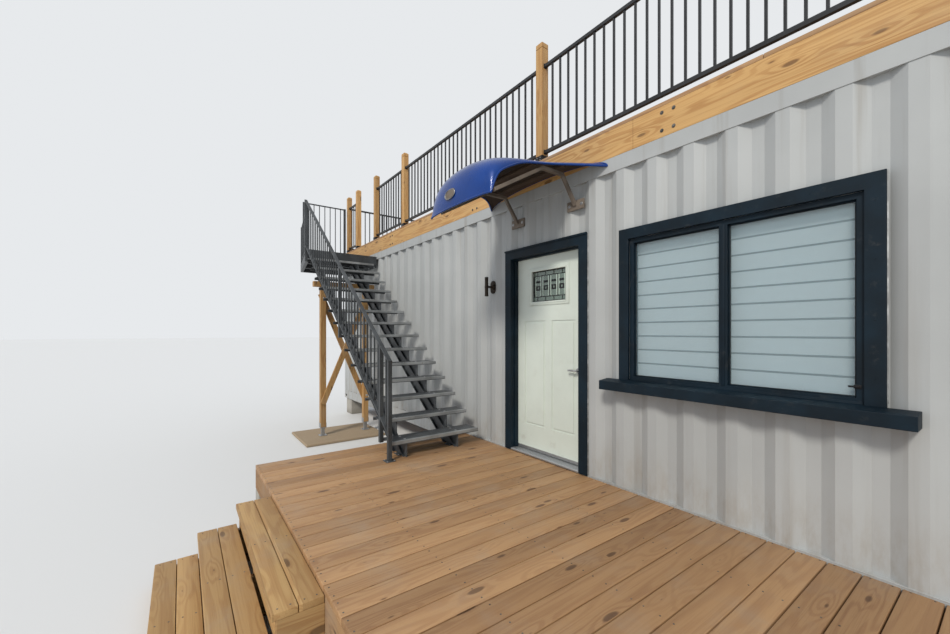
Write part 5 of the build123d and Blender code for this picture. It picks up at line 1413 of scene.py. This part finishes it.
class CABIN_OT_stair_hardware(bpy.types.Operator):
    """Edge the treads, bolt them to the stringers and foot the stair on the porch"""

    bl_idname = "cabin.stair_hardware"
    bl_label = "Stair hardware"

    def execute(self, context):
        low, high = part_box("stair_treads")
        treads = [
            (across(STAIR_FOOT - STAIR_GOING * number), up(STAIR_RISE * (number + 1)))
            for number in range(STAIR_TREADS)]
        near, far = low.y + 0.002, high.y - 0.002
        with new_piece("tread_nosings", "nosing", 0.0008, 1):
            # A strip on each tread and a lip down its front edge
            for edge, top in treads:
                stick((edge - 0.032, near, top - 0.0005), (edge + 0.0008, far, top + 0.0022))
                stick((edge - 0.001, near, top - 0.030), (edge + 0.0016, far, top + 0.0015))
        bolts = [
            (edge - inset, out(reach), top)
            for (edge, top), reach, inset in product(treads, STRINGERS, (0.060, 0.175))]
        bolt_heads("tread_bolts", bolts, "+Z", 0.0085, "zinc", height=0.35, washer=0.0012)
        guard = out(STAIR_GUARD)
        # Middle and half the width of the plates under the guard's post and the stringers
        feet = [(across(STAIR_FOOT), guard, 0.05)]
        feet += [(across(4.995), out(reach), 0.055) for reach in STRINGERS]
        top = PORCH_TOP + 0.006
        with new_piece("stair_foot_plates", "stair", 0.0015):
            for x, y, half in feet:
                pad(x, y, half, PORCH_TOP, top)
        bolts = [
            (x + side_x * (half - 0.013), y + side_y * (half - 0.013), top)
            for x, y, half in feet
            for side_x, side_y in product((-1, 1), repeat=2)]
        bolt_heads("stair_foot_bolts", bolts, "+Z", 0.0075, "zinc")
        slope = STAIR_RISE / STAIR_GOING
        with new_piece("guard_post_caps", "stair", 0.003):
            for place in GUARD_POSTS:
                z = up(STAIR_RISE + (STAIR_FOOT - place) * slope + GUARD_HEIGHT)
                pad(across(place), guard, 0.023, z - 0.016, z - 0.002, (0, math.atan(slope), 0))
        return {"FINISHED"}


class CABIN_OT_landing_hardware(bpy.types.Operator):
    """Plate the landing's floor, bolt it to the container and cap its guard posts"""

    bl_idname = "cabin.landing_hardware"
    bl_label = "Landing hardware"

    def execute(self, context):
        low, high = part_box("landing_platform")
        # The platform narrows to the left, and this is the way that its slanting edge faces
        slant = (-0.301, -1.770, 0)
        with new_piece("landing_floor_plate", "tread", 0.0008, 1):
            stick((low.x + 0.006, low.y + 0.004, high.z),
                  (high.x - 0.004, FRONT - 0.004, high.z + 0.0022))
            bpy.ops.mesh.select_all(action="SELECT")
            bpy.ops.mesh.bisect(
                plane_co=(high.x, low.y + 0.006, high.z), plane_no=slant,
                use_fill=True, clear_outer=True)
        face = FRONT - 0.006
        with new_piece("landing_ledger", "stair", 0.0015, 1):
            stick((low.x + 0.01, face, low.z - 0.05),
                  (high.x - 0.01, FRONT - 0.0005, low.z + 0.004))
        first, pitch = 0.10, 0.262
        bolts = [
            (low.x + first + number * pitch, face, low.z - 0.026) for number in range(7)]
        bolt_heads("landing_bolts", bolts, "-Y", 0.011, "zinc", washer=0.003)
        low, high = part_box("landing_guard_end")
        with new_piece("landing_post_caps", "stair", 0.002):
            for y in (low.y + 0.02, high.y - 0.02):
                pad((low.x + high.x) / 2, y, 0.0225, high.z - 0.003, high.z + 0.003)
        return {"FINISHED"}


class CABIN_OT_trestle_hardware(bpy.types.Operator):
    """Bolt the trestle's braces and feet, and plate its posts to the beam"""

    bl_idname = "cabin.trestle_hardware"
    bl_label = "Trestle hardware"

    def execute(self, context):
        low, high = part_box("trestle_posts")
        left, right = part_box("trestle_braces")
        posts = near, far = low.y + POST_HALF, high.y - POST_HALF
        inset = 0.10
        foot, head = left.z + inset, right.z - inset
        for name, x, places, axis in (
                ("brace_bolts_right", right.x, ((far, foot), (near, head)), "+X"),
                ("brace_bolts_left", left.x, ((near, foot), (far, head)), "-X")):
            bolts = [(x, y, z) for y, z in places]
            bolt_heads(name, bolts, axis, 0.012, "zinc", washer=0.003)
        anchors = [
            ((low.x + high.x) / 2 + side_x, y + side_y, 0.048)
            for y, side_x, side_y in product(posts, (-0.045, 0.045), (-0.045, 0.045))]
        bolt_heads("trestle_anchor_bolts", anchors, "+Z", 0.008, "zinc", washer=0.002)
        with new_piece("trestle_beam_plates", "zinc", 0.001, 1):
            for y, (x, side) in product(posts, ((low.x, -1), (high.x, 1))):
                stick((x, y - 0.038, high.z - 0.055), (x + side * 0.003, y + 0.038, high.z + 0.055))
        return {"FINISHED"}


class CABIN_OT_cargo_hardware(bpy.types.Operator):
    """Hang the cargo doors: hinges, seals, rod cams, rod guides and handle hubs"""

    bl_idname = "cabin.cargo_hardware"
    bl_label = "Cargo door hardware"

    def execute(self, context):
        low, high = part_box("cargo_doors")
        face, height = high.x, high.z - low.z
        edges = ((low.y, -1), (high.y, 1))
        with new_piece("cargo_hinges", "wall", 0.002):
            for (edge, side), share in product(edges, (0.09, 0.36, 0.64, 0.91)):
                z = low.z + share * height
                # Leaf on the door, pin, and lug on the post
                stick((face, edge + side * 0.004, z - 0.05),
                      (face + 0.008, edge - side * 0.150, z + 0.05))
                rod((face + 0.014, edge + side * 0.010, z), 0.016, 0.13, "Z", 20)
                stick((face - 0.004, edge + side * 0.008, z - 0.045),
                      (face + 0.012, edge + side * 0.030, z + 0.045))
        middle, gap, wide = (low.y + high.y) / 2, 0.003, 0.018
        with new_piece("cargo_door_seals", "rubber", 0.002, 1):
            for left, right in ((low.y, middle - gap), (middle + gap, high.y)):
                border(left, low.z, right, high.z, face, face + 0.006, wide, wide, "X")
        leaf_middle = (high.y - low.y) / 4 + gap / 2
        rod_x, cam = face + 0.025, 0.05
        with new_piece("cargo_rod_fittings", "zinc", 0.002):
            # Cams at the rod's ends, guides between them, and the hub of its handle
            for side, shift in product((-1, 1), (-0.240, 0.240)):
                y = middle + side * leaf_middle + shift
                for z in (low.z, high.z - cam):
                    stick((face + 0.001, y - 0.045, z), (rod_x + 0.006, y + 0.045, z + cam))
                for share in (0.21, 0.50, 0.78):
                    z = low.z + share * height
                    stick((face, y - 0.042, z - 0.030), (face + 0.006, y + 0.042, z + 0.030))
                    rod((rod_x, y, z), 0.0235, 0.045, "Z", 20)
                rod((rod_x, y, low.z + 0.925), 0.026, 0.060, "Z", 20)
        return {"FINISHED"}


STEPS = (
    CABIN_OT_frame_finishes, CABIN_OT_stage, CABIN_OT_container_details, CABIN_OT_porch_boards,
    CABIN_OT_porch_steps, CABIN_OT_roof_boards, CABIN_OT_roof_hardware, CABIN_OT_doorway,
    CABIN_OT_door_light, CABIN_OT_door_lever, CABIN_OT_window_sash, CABIN_OT_window_blind,
    CABIN_OT_wall_lamp, CABIN_OT_hood, CABIN_OT_hood_fittings, CABIN_OT_stair_hardware,
    CABIN_OT_landing_hardware, CABIN_OT_trestle_hardware, CABIN_OT_cargo_hardware,
)


class CABIN_PT_panel(bpy.types.Panel):
    """List the cabin's sizes, colours and building steps"""

    bl_label = "Container Cabin"
    bl_idname = "CABIN_PT_panel"
    bl_space_type = "VIEW_3D"
    bl_region_type = "UI"
    bl_category = "Cabin"

    def draw(self, context):
        layout = self.layout
        for group in (context.scene.cabin_sizes, context.scene.cabin_colours):
            column = layout.column(align=True)
            for name in group.__annotations__:
                column.prop(group, name)
        for step in STEPS:
            layout.operator(step.bl_idname)


CLASSES = (CabinSizes, CabinColours, *STEPS, CABIN_PT_panel)


def register():
    """Register the classes and hang the two groups of settings on the scene."""
    for cls in CLASSES:
        bpy.utils.register_class(cls)
    bpy.types.Scene.cabin_sizes = PointerProperty(type=CabinSizes)
    bpy.types.Scene.cabin_colours = PointerProperty(type=CabinColours)


def unregister():
    """Take the settings and the classes away again."""
    del bpy.types.Scene.cabin_colours
    del bpy.types.Scene.cabin_sizes
    for cls in reversed(CLASSES):
        bpy.utils.unregister_class(cls)


def main():
    """Build every piece in order."""
    register()
    for step in STEPS:
        group, name = step.bl_idname.split(".")
        getattr(getattr(bpy.ops, group), name)()


if __name__ == "__main__":
    main()
